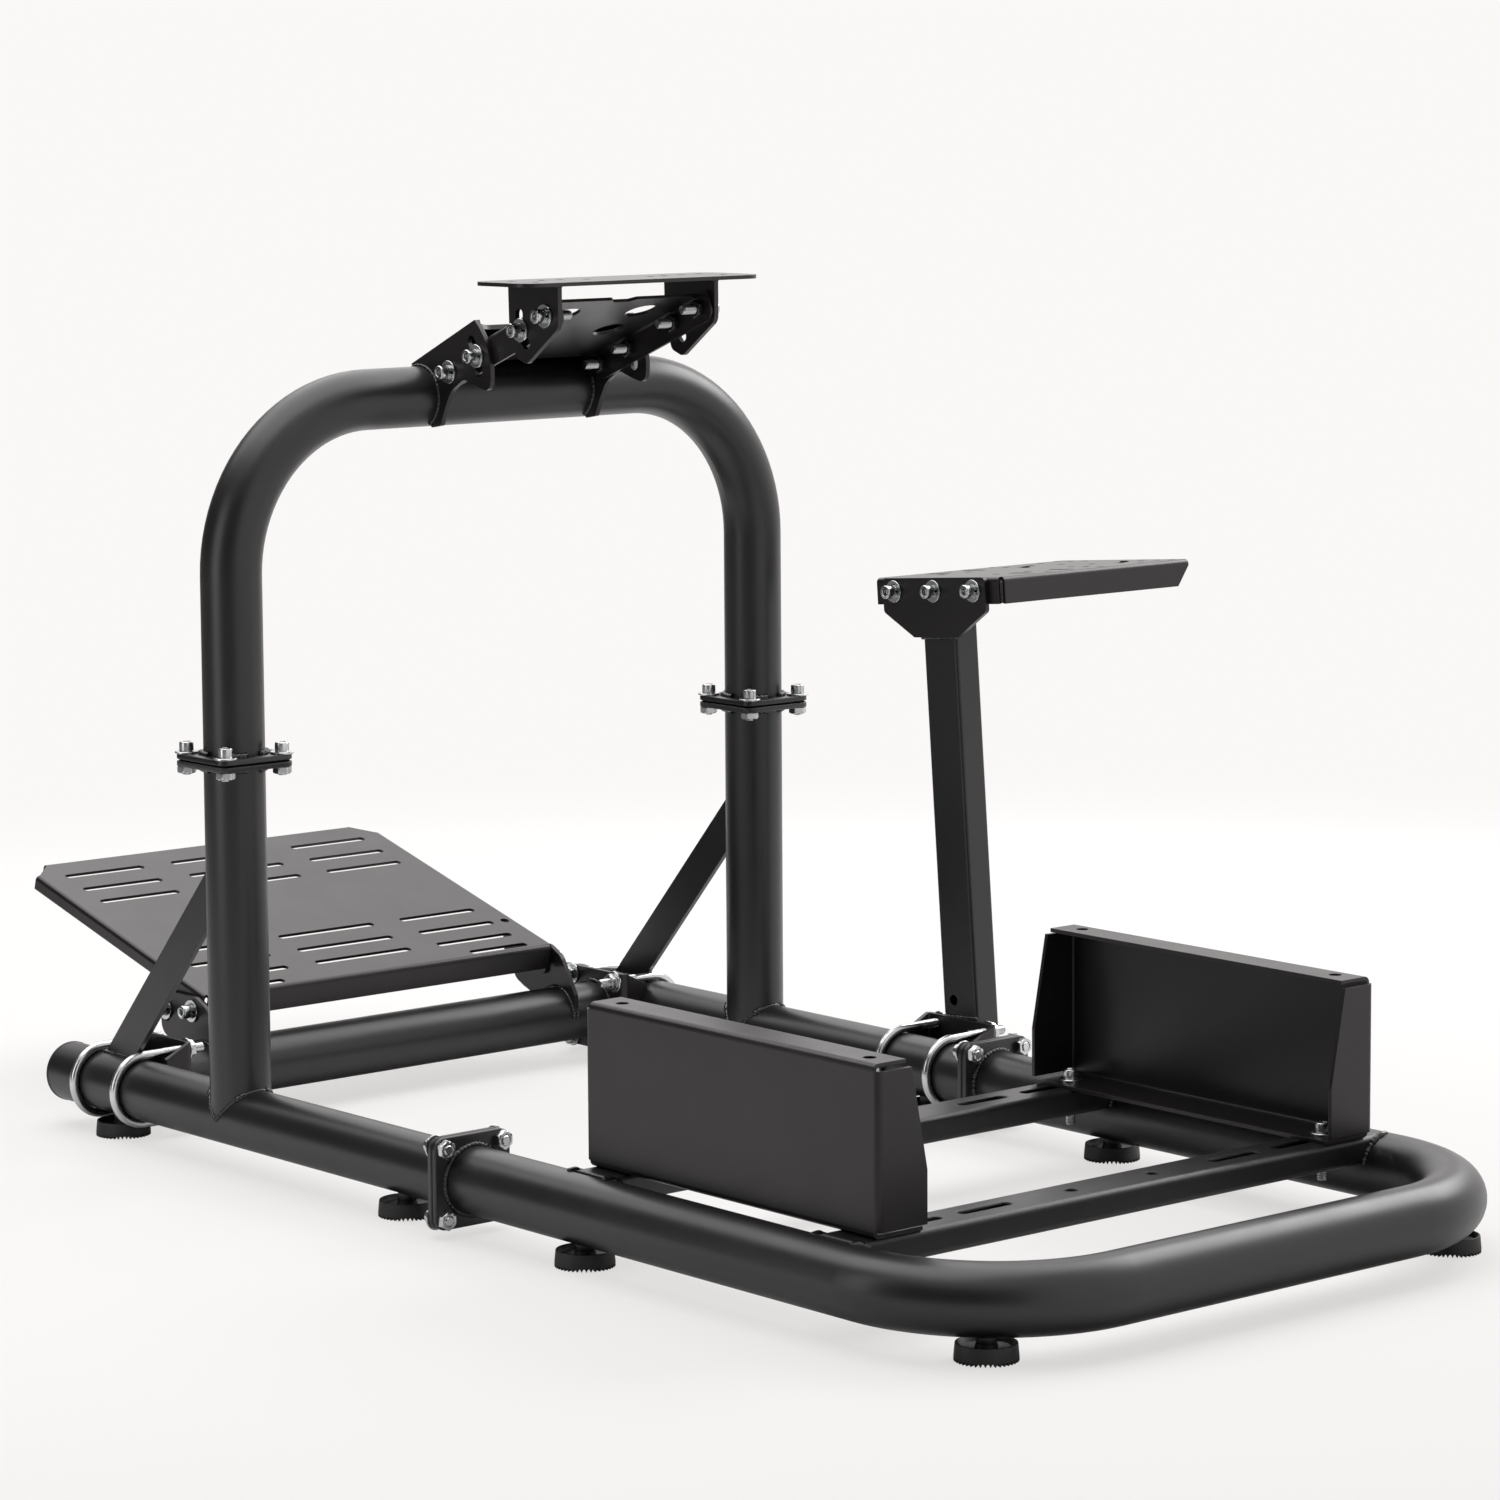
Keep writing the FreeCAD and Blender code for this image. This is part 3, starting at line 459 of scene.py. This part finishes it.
def socket_head(form, place, z):
    """Knurled head with a rounded rim and a hexagon socket that ends in a drill point."""
    count = 72
    top = z + HEAD_H
    neck = HEAD_R - 0.1
    drill_r = 1.2
    rings = [circle(HEAD_R - 0.3, z, count), circle(neck, z + 0.4, count), knurl(HEAD_R, z + 0.6, count),
             knurl(HEAD_R, top - 1.3, count), circle(neck, top - 1.0, count),
             circle(HEAD_R - 0.35, top - 0.35, count), circle(HEAD_R - 0.9, top, count),
             hexagon(SOCKET_W + 0.7, SOCKET_W, top, count), hexagon(SOCKET_W, SOCKET_W, top - 0.5, count),
             hexagon(SOCKET_W, SOCKET_W, top - SOCKET_DEEP, count),
             circle(drill_r, top - SOCKET_DEEP - 1.0, count)]
    form.skin(rings, place)
    return top


def hex_nut(form, place, z):
    """Nut with rounded corners above and below and a countersunk hole on top."""
    count = 48
    top = z + NUT_H
    corner = NUT_W / math.sqrt(3) + 0.1
    worn = corner - 0.4
    flat = NUT_W / 2 - 0.25
    limits = [(flat, z), (worn, z + NUT_ROUND / 2), (corner, z + NUT_ROUND), (corner, top - NUT_ROUND),
              (worn, top - NUT_ROUND / 2), (flat, top)]
    rings = [hexagon(NUT_W, limit, h, count) for limit, h in limits]
    rings += [circle(BOLT_R + 0.5, top, count), circle(BOLT_R - 0.2, top - 0.7, count)]
    form.skin(rings, place)
    return top


def thread(form, place, low, high, radius):
    """Screw thread with a chamfered end."""
    count = 24
    step = THREAD_PITCH / 4
    chamfer = 0.5
    rings = []
    z = low
    while z < high - THREAD_END:
        ring = []
        for a in angles(count):
            wave = (z / THREAD_PITCH - a / (2 * math.pi)) % 1.0
            r = radius - THREAD_DEEP * abs(2 * wave - 1)
            ring.append((r * math.cos(a), r * math.sin(a), z))
        rings.append(ring)
        z += step
    rings.append(circle(radius - chamfer, high - chamfer, count))
    rings.append(circle(radius - 2 * chamfer, high, count))
    form.skin(rings, place)


def screw(form, place, spring):
    """Head side of a screw: flat washer, spring washer where there is one, and a socket head."""
    z = flat_washer(form, place, 0.0)
    if spring:
        z = spring_washer(form, place, z)
    socket_head(form, place, z)


def nut_end(form, place, tip):
    """Far side of a screw: a nut and a tip of thread."""
    z = hex_nut(form, place, 0.0)
    thread(form, place, z - THREAD_SUNK, z + tip, BOLT_R)


# Weld beads
def ripple(length):
    """Bead radius factor along a seam: overlapping puddles with a slow uneven drift."""
    puddle = abs(math.sin(math.pi * length / PUDDLE))
    drift = 0.09 * math.sin(length * 0.37) + 0.06 * math.sin(length * 1.13)
    return 0.72 + 0.3 * math.sqrt(puddle) + drift


def bead(form, seam, radius):
    """Rippled weld along a seam given as a function of 0 to 1."""
    chords = 40
    fewest = 8
    marks = [seam(i / chords) for i in range(chords + 1)]
    length = sum((b - a).length for a, b in zip(marks, marks[1:]))
    steps = max(fewest, round(length / BEAD_STEP))
    spots = [seam(i / steps) for i in range(steps + 1)]
    side = (spots[1] - spots[0]).orthogonal().normalized()
    travel = 0.0
    rings = []
    for i, spot in enumerate(spots):
        along = (spots[min(i + 1, steps)] - spots[max(i - 1, 0)]).normalized()
        side = (side - along * side.dot(along)).normalized()
        other = along.cross(side)
        r = radius * ripple(travel)
        rings.append([spot + (side * math.cos(a) + other * math.sin(a)) * r for a in angles(BEAD_SIDES)])
        travel += length / steps
    form.skin(rings, Matrix())


def round_seam(centre, u, v, radius, start=0.0, end=2 * math.pi):
    """Seam along an arc in the plane of two unit directions."""
    centre = Vector(centre)
    u = Vector(u)
    v = Vector(v)

    def seam(t):
        a = start + (end - start) * t
        return centre + (u * math.cos(a) + v * math.sin(a)) * radius
    return seam


def line_seam(start, end):
    start = Vector(start)
    end = Vector(end)
    return lambda t: start.lerp(end, t)


def part_of(seam, start, end):
    return lambda t: seam(start + (end - start) * t)


# Flange plates: rounded corners and broken edges, open towards the other plate as the welding left them
PLATE_PROFILE = ((2.4, 0.0), (0.25, 0.9), (0.0, 1.2), (0.0, FLANGE_T - 0.6), (0.2, FLANGE_T - 0.2),
                 (0.7, FLANGE_T))


def plate_ring(inset, z):
    """Outline of a plate, drawn in by an inset."""
    ring = []
    corner_steps = 8
    half = FLANGE_HALF - FLANGE_CORNER
    r = FLANGE_CORNER - inset
    for quarter in range(4):
        middle = math.pi / 4 + quarter * math.pi / 2
        x = math.copysign(half, math.cos(middle))
        y = math.copysign(half, math.sin(middle))
        for i in range(corner_steps + 1):
            a = (quarter + i / corner_steps) * math.pi / 2
            ring.append((x + r * math.cos(a), y + r * math.sin(a), z))
    return ring


def flange_plates(name, node, place, way):
    """Left and right plate of one kind, from the joint's face along a way."""
    rings = [plate_ring(inset, z) for inset, z in PLATE_PROFILE]
    plates = Form()
    for side in SIDES:
        plates.skin(rings, facing(side * RAIL_X, *place, way))
    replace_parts(plates.piece(name, "frame", COAT, PLATE_SHARP), node)


flange_plates("rear_rail_plates", "rear_rail_flanges", (JOINT_Y, RAIL_Z), (0, -1, 0))
flange_plates("front_rail_plates", "front_rail_flanges", (JOINT_Y, RAIL_Z), (0, 1, 0))
flange_plates("lower_upright_plates", "lower_upright_flanges", (UPRIGHT_Y, JOINT_Z), (0, 0, -1))
flange_plates("upper_upright_plates", "upper_upright_flanges", (UPRIGHT_Y, JOINT_Z), (0, 0, 1))

# Bolts of the rail flanges: heads ahead, nuts behind
rail_screws = Form()
for side in SIDES:
    for u, v in FLANGE_SPOTS:
        x = side * RAIL_X + u
        z = RAIL_Z + v
        screw(rail_screws, facing(x, JOINT_Y + FLANGE_T, z, (0, 1, 0)), False)
        nut_end(rail_screws, facing(x, JOINT_Y - FLANGE_T, z, (0, -1, 0)), RAIL_TIP)
rail_screws.piece("rail_flange_screws", "frame", ZINC)

# Bolts of the upright flanges: heads above, nuts below
upright_screws = Form()
for side in SIDES:
    for u, v in FLANGE_SPOTS:
        x = side * RAIL_X + u
        y = UPRIGHT_Y + v
        screw(upright_screws, facing(x, y, JOINT_Z + FLANGE_T, (0, 0, 1)), False)
        nut_end(upright_screws, facing(x, y, JOINT_Z - FLANGE_T, (0, 0, -1)), UPRIGHT_TIP)
upright_screws.piece("upright_flange_screws", "frame", ZINC)

# Washers, nuts and threads on the U-bolts; each clamp is a rail side, its Y and the way its rods point
CLAMPS = ((-1, CROSS_Y, 1), (1, CROSS_Y, -1), (1, SHIFT_Y, 1))
clamp_nuts = Form()
for side, y, way in CLAMPS:
    for dy in (-ROD_PITCH / 2, ROD_PITCH / 2):
        for dz in (-ROD_LINE, ROD_LINE):
            seat = facing(side * RAIL_X + way * CLAMP_OUT, y + dy, RAIL_Z + dz, (way, 0, 0))
            z = flat_washer(clamp_nuts, seat, 0.0)
            hex_nut(clamp_nuts, seat, z)
            thread(clamp_nuts, seat, -ROD_THREAD, ROD_OUT + ROD_PAST, ROD_R + ROD_COVER)
clamp_nuts.piece("clamp_nuts", "frame", ZINC)

# Seat bracket screws through the slots of the bars, with a wide washer and a bare end below
seat_screws = Form()
for side in SIDES:
    for y in BAR_YS:
        screw(seat_screws, facing(side * SEAT_BOLT_X, y, BAR_TOP + SEAT_T, (0, 0, 1)), False)
        below = facing(side * SEAT_BOLT_X, y, BAR_TOP - BAR_H, (0, 0, -1))
        z = flat_washer(seat_screws, below, 0.0, WIDE_WASHER_R)
        thread(seat_screws, below, SEAT_START, z + SEAT_TIP, BOLT_R)
seat_screws.piece("seat_screws", "frame", ZINC)

# Shifter deck screws, on the leaned post
LEANED = (Matrix.Translation((0, SHIFT_Y, POST_FOOT)) @ Matrix.Rotation(-POST_LEAN, 4, "X")
          @ Matrix.Translation((0, -SHIFT_Y, -POST_FOOT)))
deck_screws = Form()
for dy in (-GUSSET_PITCH, 0.0, GUSSET_PITCH):
    y = SHIFT_Y + dy
    z = DECK_Z - GUSSET_BOLT_Z
    screw(deck_screws, LEANED @ facing(POST_X - GUSSET_T, y, z, (-1, 0, 0)), True)
    nut_end(deck_screws, LEANED @ facing(POST_X + DECK_T, y, z, (1, 0, 0)), DECK_TIP)
deck_screws.piece("deck_screws", "frame", ZINC)


# Moving screws: bright heads and ends, and black nuts welded inside the sheet
def moving_screws(name, node, body, x_out, through, spots):
    bright = Form()
    nuts = Form()
    for side in SIDES:
        for y, z in spots:
            outer = facing(side * (x_out + FACE_PLAY), y, z, (side, 0, 0))
            inner = facing(side * (x_out - through), y, z, (-side, 0, 0))
            screw(bright, outer, True)
            reach = hex_nut(nuts, inner, 0.0)
            thread(bright, inner, reach - THREAD_SUNK, reach + MOVING_TIP, BOLT_R)
    screws = bright.piece(name + "_screws", body, ZINC)
    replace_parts(screws, node)
    nuts.piece(name + "_weld_nuts", body, WELD)


def at_arm(distance):
    """Y and Z of a hole of the wheel arm, by its distance from the arm's pivot."""
    return ARM_Y - distance * math.cos(ARM_TILT), ARM_Z + distance * math.sin(ARM_TILT)


arm_spots = [at_arm(s) for s in ARM_HOLES[:2]]
plate_spots = [at_arm(s) for s in ARM_HOLES[2:]]
tray_hold = (TRAY_Y + TRAY_REACH * math.cos(TRAY_REACH_A), TRAY_Z + TRAY_REACH * math.sin(TRAY_REACH_A))
moving_screws("arm", "arm_bolts", "wheel_arm", CRADLE_X, ARM_THROUGH, arm_spots)
moving_screws("plate", "plate_bolts", "wheel_arm", CRADLE_X, ARM_THROUGH, plate_spots)
moving_screws("tray", "pedal_bolts", "pedal_tray", BRACKET_X, TRAY_THROUGH, [(TRAY_Y, TRAY_Z), tray_hold])


# Welds of the tubes to their flanges and to each other
def saddle_seam(x):
    """Curve where an upright meets a rail of the same radius."""
    def seam(t):
        a = 2 * math.pi * t
        rise = TUBE_R * abs(math.sin(a))
        return Vector((x + TUBE_R * math.cos(a), UPRIGHT_Y + TUBE_R * math.sin(a), RAIL_Z + rise))
    return seam


def bar_seam(side, y):
    """Curve where a side of a seat bar meets the loop tube."""
    def seam(t):
        height = LOOP_R - BAR_H * t
        inset = math.sqrt(max(LOOP_R ** 2 - height ** 2, 0.0))
        return Vector((side * (RAIL_X - inset), y, RAIL_Z + height))
    return seam


weld_r = TUBE_R + TUBE_BEAD_OFF
loop_weld_r = LOOP_R + TUBE_BEAD_OFF
rail_top = RAIL_Z + TUBE_R
upright_front = UPRIGHT_Y + TUBE_R
brace_half = BRACE_W / 2 / math.sin(BRACE_RISE)
brace_tall = BRACE_W / 2 / math.cos(BRACE_RISE)
brace_mid = rail_top + (CROSS_Y - upright_front) * math.tan(BRACE_RISE)
frame_welds = Form()
for side in SIDES:
    x = side * RAIL_X
    bead(frame_welds, round_seam((x, JOINT_Y - FLANGE_T, RAIL_Z), X_WAY, Z_WAY, loop_weld_r), TUBE_BEAD)
    bead(frame_welds, round_seam((x, JOINT_Y + FLANGE_T, RAIL_Z), X_WAY, Z_WAY, weld_r), TUBE_BEAD)
    for z in (JOINT_Z - FLANGE_T, JOINT_Z + FLANGE_T):
        for start in angles(STITCHES):
            stitch = round_seam((x, UPRIGHT_Y, z), X_WAY, Y_WAY, weld_r, start, start + STITCH_TURN)
            bead(frame_welds, stitch, STITCH_BEAD)
    cross_end = (side * (RAIL_X - CLAMP_OUT), CROSS_Y, RAIL_Z)
    bead(frame_welds, round_seam(cross_end, Y_WAY, Z_WAY, weld_r), TUBE_BEAD)
for side in SIDES:
    x = side * RAIL_X
    bead(frame_welds, saddle_seam(x), SADDLE_BEAD)
    for share in SADDLE_TACKS:
        bead(frame_welds, part_of(saddle_seam(x), share, share + TACK_SHARE), TACK_BEAD)
    for y in BAR_YS:
        for dy in (-BAR_W / 2, BAR_W / 2):
            bead(frame_welds, bar_seam(side, y + dy), BAR_BEAD)
    for face in (x - BRACE_T / 2, x + BRACE_T / 2):
        foot_ends = [(face, CROSS_Y + s * brace_half, rail_top) for s in SIDES]
        bead(frame_welds, line_seam(*foot_ends), BRACE_BEAD)
        head_ends = [(face, upright_front, brace_mid + s * brace_tall) for s in SIDES]
        bead(frame_welds, line_seam(*head_ends), BRACE_BEAD)
frame_welds.piece("frame_welds", "frame", WELD, WELD_SHARP)

# Welds of the sheet parts that stay on the frame: cradles, pedal brackets and the bridge of the cradles
sheet_weld_r = TUBE_R + SHEET_BEAD_OFF
cradle_start = math.pi / 2 - CRADLE_RISE
sheet_welds = Form()
for side in SIDES:
    for x in (ARM_X + FACE_PLAY, CRADLE_X):
        arch = (side * x, UPRIGHT_Y, ARCH_Z)
        bead(sheet_welds, round_seam(arch, Y_WAY, Z_WAY, sheet_weld_r, cradle_start, CRADLE_LEG), SHEET_BEAD)
    for x in (BRACKET_X - MOUNT_T, BRACKET_X):
        cross = (side * x, CROSS_Y, RAIL_Z)
        bead(sheet_welds, round_seam(cross, Y_WAY, Z_WAY, sheet_weld_r, 0.0, math.pi), SHEET_BEAD)
crest_y = UPRIGHT_Y + TUBE_R * math.sin(CRADLE_RISE) + CREST_OFF[0]
crest_z = ARCH_Z + TUBE_R * math.cos(CRADLE_RISE) + CREST_OFF[1]
bead(sheet_welds, line_seam((-ARM_X, crest_y, crest_z), (ARM_X, crest_y, crest_z)), SHEET_BEAD)


# Welds of the shifter: post on its clamp and gusset, and the inner corners of the deck's lips below the fold
def leaned_bead(start, end, radius):
    """Straight bead on the leaned post, from and to an X, a Y from the post's middle and a Z."""
    ends = [LEANED @ Vector((x, SHIFT_Y + dy, z)) for x, dy, z in (start, end)]
    bead(sheet_welds, line_seam(*ends), radius)


half_post = POST_W / 2
gusset_low = DECK_Z - GUSSET_H
for dy in (-half_post, half_post):
    leaned_bead((POST_X, dy, POST_FOOT + POST_END_OFF), (POST_X, dy, CLAMP_TOP - POST_END_OFF), POST_BEAD)
    leaned_bead((POST_X, dy, gusset_low), (POST_X, dy, POST_TOP), GUSSET_BEAD)
for z in (gusset_low, CLAMP_TOP):
    leaned_bead((POST_X, -half_post, z), (POST_X, half_post, z), GUSSET_BEAD)
corner_x = POST_X + DECK_CORNER
corner_dy = DECK_W / 2 - DECK_CORNER
corner_low = DECK_Z - DECK_LIP + LIP_END_OFF
for dy in (-corner_dy, corner_dy):
    leaned_bead((corner_x, dy, DECK_Z - DECK_FOLD), (corner_x, dy, corner_low), LIP_BEAD)
sheet_welds.piece("sheet_welds", "frame", WELD, WELD_SHARP)

# Welds of the hangers under the wheel plate
hanger_welds = Form()
plate_y, plate_z = at_arm(ARM_HOLES[3])
for side in SIDES:
    for x in (ARM_X + FACE_PLAY, CRADLE_X):
        ends = [(side * x, plate_y + end, plate_z + HANGER_TOP) for end in HANGER_ENDS]
        bead(hanger_welds, line_seam(*ends), HANGER_BEAD)
hanger_welds.piece("hanger_welds", "wheel_plate", WELD, WELD_SHARP)


# Foot pads: a rim round a recess with a boss, and a toothed edge on the floor
def toothed(radius, count):
    """Ring with its rounded teeth down to the floor."""
    ring = []
    for a in angles(count):
        lift = TOOTH_H * abs(math.sin(TEETH * a / 2))
        ring.append((radius * math.cos(a), radius * math.sin(a), lift))
    return ring


PAD_COUNT = 8 * TEETH
PAD_TOP = ((PAD_R, 3.2), (PAD_R - 0.8, PAD_H - 0.8), (PAD_R - 1.0, PAD_H - 0.2), (PAD_R - 1.5, PAD_H),
           (PAD_R - 2.0, PAD_H), (PAD_R - 2.6, PAD_H - 0.4), (PAD_R - 5.0, PAD_H - 3.5),
           (PAD_BOSS_R, PAD_H - 4.0), (PAD_BOSS_R - 0.5, PAD_H - 1.0), (PAD_HOLE_R, PAD_H - 1.0))
pad_rings = [circle(PAD_HOLE_R, PAD_FLOOR, PAD_COUNT), circle(PAD_R - TOOTH_W - 0.2, PAD_FLOOR, PAD_COUNT),
             toothed(PAD_R - TOOTH_W, PAD_COUNT), toothed(PAD_R, PAD_COUNT)]
pad_rings += [circle(r, z, PAD_COUNT) for r, z in PAD_TOP]
corner_in = LOOP_BEND * (1 - math.sqrt(0.5))
foot_spots = [(RAIL_X - corner_in, corner_in)] + [(RAIL_X, y) for y in FOOT_YS]
pads = Form()
for side in SIDES:
    for x, y in foot_spots:
        pads.skin(pad_rings, facing(side * x, y, 0.0, Z_WAY))
pad_piece = pads.piece("toothed_pads", "frame", RUBBER)
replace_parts(pad_piece, "foot_pads")

# Rail end caps: a plug, a lip that stands a little proud of the tube, and a dished end
CAP_COUNT = 72
CAP_PROFILE = ((TUBE_R - TUBE_WALL, -CAP_PLUG), (TUBE_R - TUBE_WALL, 0.1), (TUBE_R - 0.2, 0.1),
               (TUBE_R + 0.25, 0.35), (TUBE_R + 0.4, 0.7), (TUBE_R + 0.3, 2.0), (TUBE_R - 0.3, 2.9),
               (TUBE_R - 1.2, 3.4), (TUBE_R - 2.4, CAP_T), (TUBE_R - 5.0, CAP_T),
               (TUBE_R - 6.0, CAP_T - 0.5), (2.0, CAP_T - 0.5))
cap_rings = [circle(r, z, CAP_COUNT) for r, z in CAP_PROFILE]
caps = Form()
for side in SIDES:
    caps.skin(cap_rings, facing(side * RAIL_X, CAP_Y, RAIL_Z, (0, 1, 0)))
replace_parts(caps.piece("lipped_end_caps", "frame", PLASTIC), "rail_end_caps")

# Stage: a pale floor that fades into a warm white world, both dimmer in reflections away from the key light
BACKDROP = (0.96, 0.94, 0.928)
KEY_SIDE = (0.94, -0.34, 0.0)
FLOOR_HALF = 14.0
FLOOR_COLOUR = (0.93, 0.92, 0.92)
FLOOR_ROUGH = 0.85
FLOOR_SPECULAR = 0.1
FLOOR_LIFT = 0.68
FLOOR_DIM = 0.25
WORLD_FILL = 0.2
WORLD_DIM = 0.08

# Spans over which the stage changes: metres on the floor, and parts of a unit direction in the world
FLOOR_DIM_SPAN = (-1.2, 0.4)
FLOOR_FADE_SPAN = (0.8, 2.2)
WORLD_KEY_SPAN = (-0.35, 0.2)
WORLD_TOP_SPAN = (0.5, 0.9)


def larger(nodes, links, first, second):
    """Larger one of two values."""
    node = nodes.new("ShaderNodeMath")
    node.operation = "MAXIMUM"
    links.new(first, node.inputs[0])
    links.new(second, node.inputs[1])
    return node.outputs["Value"]


def ramp(nodes, links, source, span, start, end):
    """Smooth step between two levels as a value goes through a span."""
    node = nodes.new("ShaderNodeMapRange")
    node.interpolation_type = "SMOOTHSTEP"
    node.inputs["From Min"].default_value = span[0]
    node.inputs["From Max"].default_value = span[1]
    node.inputs["To Min"].default_value = start
    node.inputs["To Max"].default_value = end
    links.new(source, node.inputs["Value"])
    return node.outputs["Result"]


def towards(nodes, links, vector, way):
    """Length of a vector along a way."""
    node = nodes.new("ShaderNodeVectorMath")
    node.operation = "DOT_PRODUCT"
    node.inputs[1].default_value = way
    links.new(vector, node.inputs[0])
    return node.outputs["Value"]


def choose(nodes, links, factor, off, on):
    """Value off or on, each a number or a socket, by a factor."""
    node = nodes.new("ShaderNodeMix")
    links.new(factor, node.inputs["Factor"])
    for name, value in (("A", off), ("B", on)):
        if isinstance(value, float):
            node.inputs[name].default_value = value
        else:
            links.new(value, node.inputs[name])
    return node.outputs["Result"]


def floor_material():
    material, nodes, links, shader = new_material("floor")
    shader.inputs["Base Color"].default_value = (*FLOOR_COLOUR, 1)
    shader.inputs["Roughness"].default_value = FLOOR_ROUGH
    shader.inputs["Specular IOR Level"].default_value = FLOOR_SPECULAR
    place = nodes.new("ShaderNodeNewGeometry").outputs["Position"]
    seen = nodes.new("ShaderNodeLightPath").outputs["Is Camera Ray"]
    length = nodes.new("ShaderNodeVectorMath")
    length.operation = "LENGTH"
    links.new(place, length.inputs[0])
    glow = nodes.new("ShaderNodeEmission")
    glow.inputs["Color"].default_value = (*BACKDROP, 1)
    dim = ramp(nodes, links, towards(nodes, links, place, KEY_SIDE), FLOOR_DIM_SPAN, FLOOR_DIM, 1.0)
    links.new(choose(nodes, links, seen, dim, 1.0), glow.inputs["Strength"])
    near = choose(nodes, links, seen, 0.0, FLOOR_LIFT)
    far = ramp(nodes, links, length.outputs["Value"], FLOOR_FADE_SPAN, 0.0, 1.0)
    mix = nodes.new("ShaderNodeMixShader")
    links.new(larger(nodes, links, far, near), mix.inputs["Fac"])
    links.new(shader.outputs["BSDF"], mix.inputs[1])
    links.new(glow.outputs["Emission"], mix.inputs[2])
    links.new(mix.outputs["Shader"], nodes["Material Output"].inputs["Surface"])
    return material


def white_world():
    """World that is white to the camera and, in reflections, on the key light's side and overhead."""
    world = bpy.data.worlds.new("world")
    world.use_nodes = True
    nodes = world.node_tree.nodes
    links = world.node_tree.links
    background = nodes["Background"]
    background.inputs["Color"].default_value = (*BACKDROP, 1)
    rays = nodes.new("ShaderNodeLightPath").outputs
    sky = nodes.new("ShaderNodeTexCoord").outputs["Generated"]
    key_side = ramp(nodes, links, towards(nodes, links, sky, KEY_SIDE), WORLD_KEY_SPAN, 0.0, 1.0)
    overhead = ramp(nodes, links, towards(nodes, links, sky, Z_WAY), WORLD_TOP_SPAN, 0.0, 1.0)
    bright = larger(nodes, links, key_side, overhead)
    mirrored = ramp(nodes, links, bright, (0.0, 1.0), WORLD_DIM, 1.0)
    mirror = larger(nodes, links, rays["Is Glossy Ray"], rays["Is Transmission Ray"])
    indirect = choose(nodes, links, mirror, WORLD_FILL, mirrored)
    strength = choose(nodes, links, rays["Is Camera Ray"], indirect, 1.0)
    links.new(strength, background.inputs["Strength"])
    return world


floor_mesh = bpy.data.meshes.new("floor")
floor_corners = [(-FLOOR_HALF, -FLOOR_HALF, 0), (FLOOR_HALF, -FLOOR_HALF, 0), (FLOOR_HALF, FLOOR_HALF, 0),
                 (-FLOOR_HALF, FLOOR_HALF, 0)]
floor_mesh.from_pydata(floor_corners, [], [(0, 1, 2, 3)])
floor_mesh.materials.append(floor_material())
floor = bpy.data.objects.new("floor", floor_mesh)
scene.collection.objects.link(floor)
scene.world = white_world()

# Lights, in metres of the scene: place, target, width and length, and brightness
LIGHTS = {
    "top_light": ((0.0, 1.2, 2.3), (0.0, 1.2, 0.0), (2.9, 4.0), 1.9),
    "key_light": ((2.45, -0.15, 2.05), (0.0, 0.0, 0.2), (2.0, 1.3), 6.0),
    "left_light": ((-1.6, 0.3, 0.6), (0.0, 0.2, 0.3), (0.6, 1.1), 1.7),
    "back_light": ((2.0, 2.4, 1.75), (0.0, 0.55, 0.15), (1.8, 1.2), 0.8),
}


def area_light(name, place, target, size, radiance):
    """Soft box with a given brightness."""
    data = bpy.data.lights.new(name, "AREA")
    data.shape = "RECTANGLE"
    data.size = size[0]
    data.size_y = size[1]
    data.energy = radiance * math.pi * size[0] * size[1]
    lamp = bpy.data.objects.new(name, data)
    lamp.location = place
    lamp.rotation_euler = (Vector(target) - lamp.location).to_track_quat("-Z", "Y").to_euler()
    lamp.visible_camera = False
    scene.collection.objects.link(lamp)


for name, light in LIGHTS.items():
    area_light(name, *light)
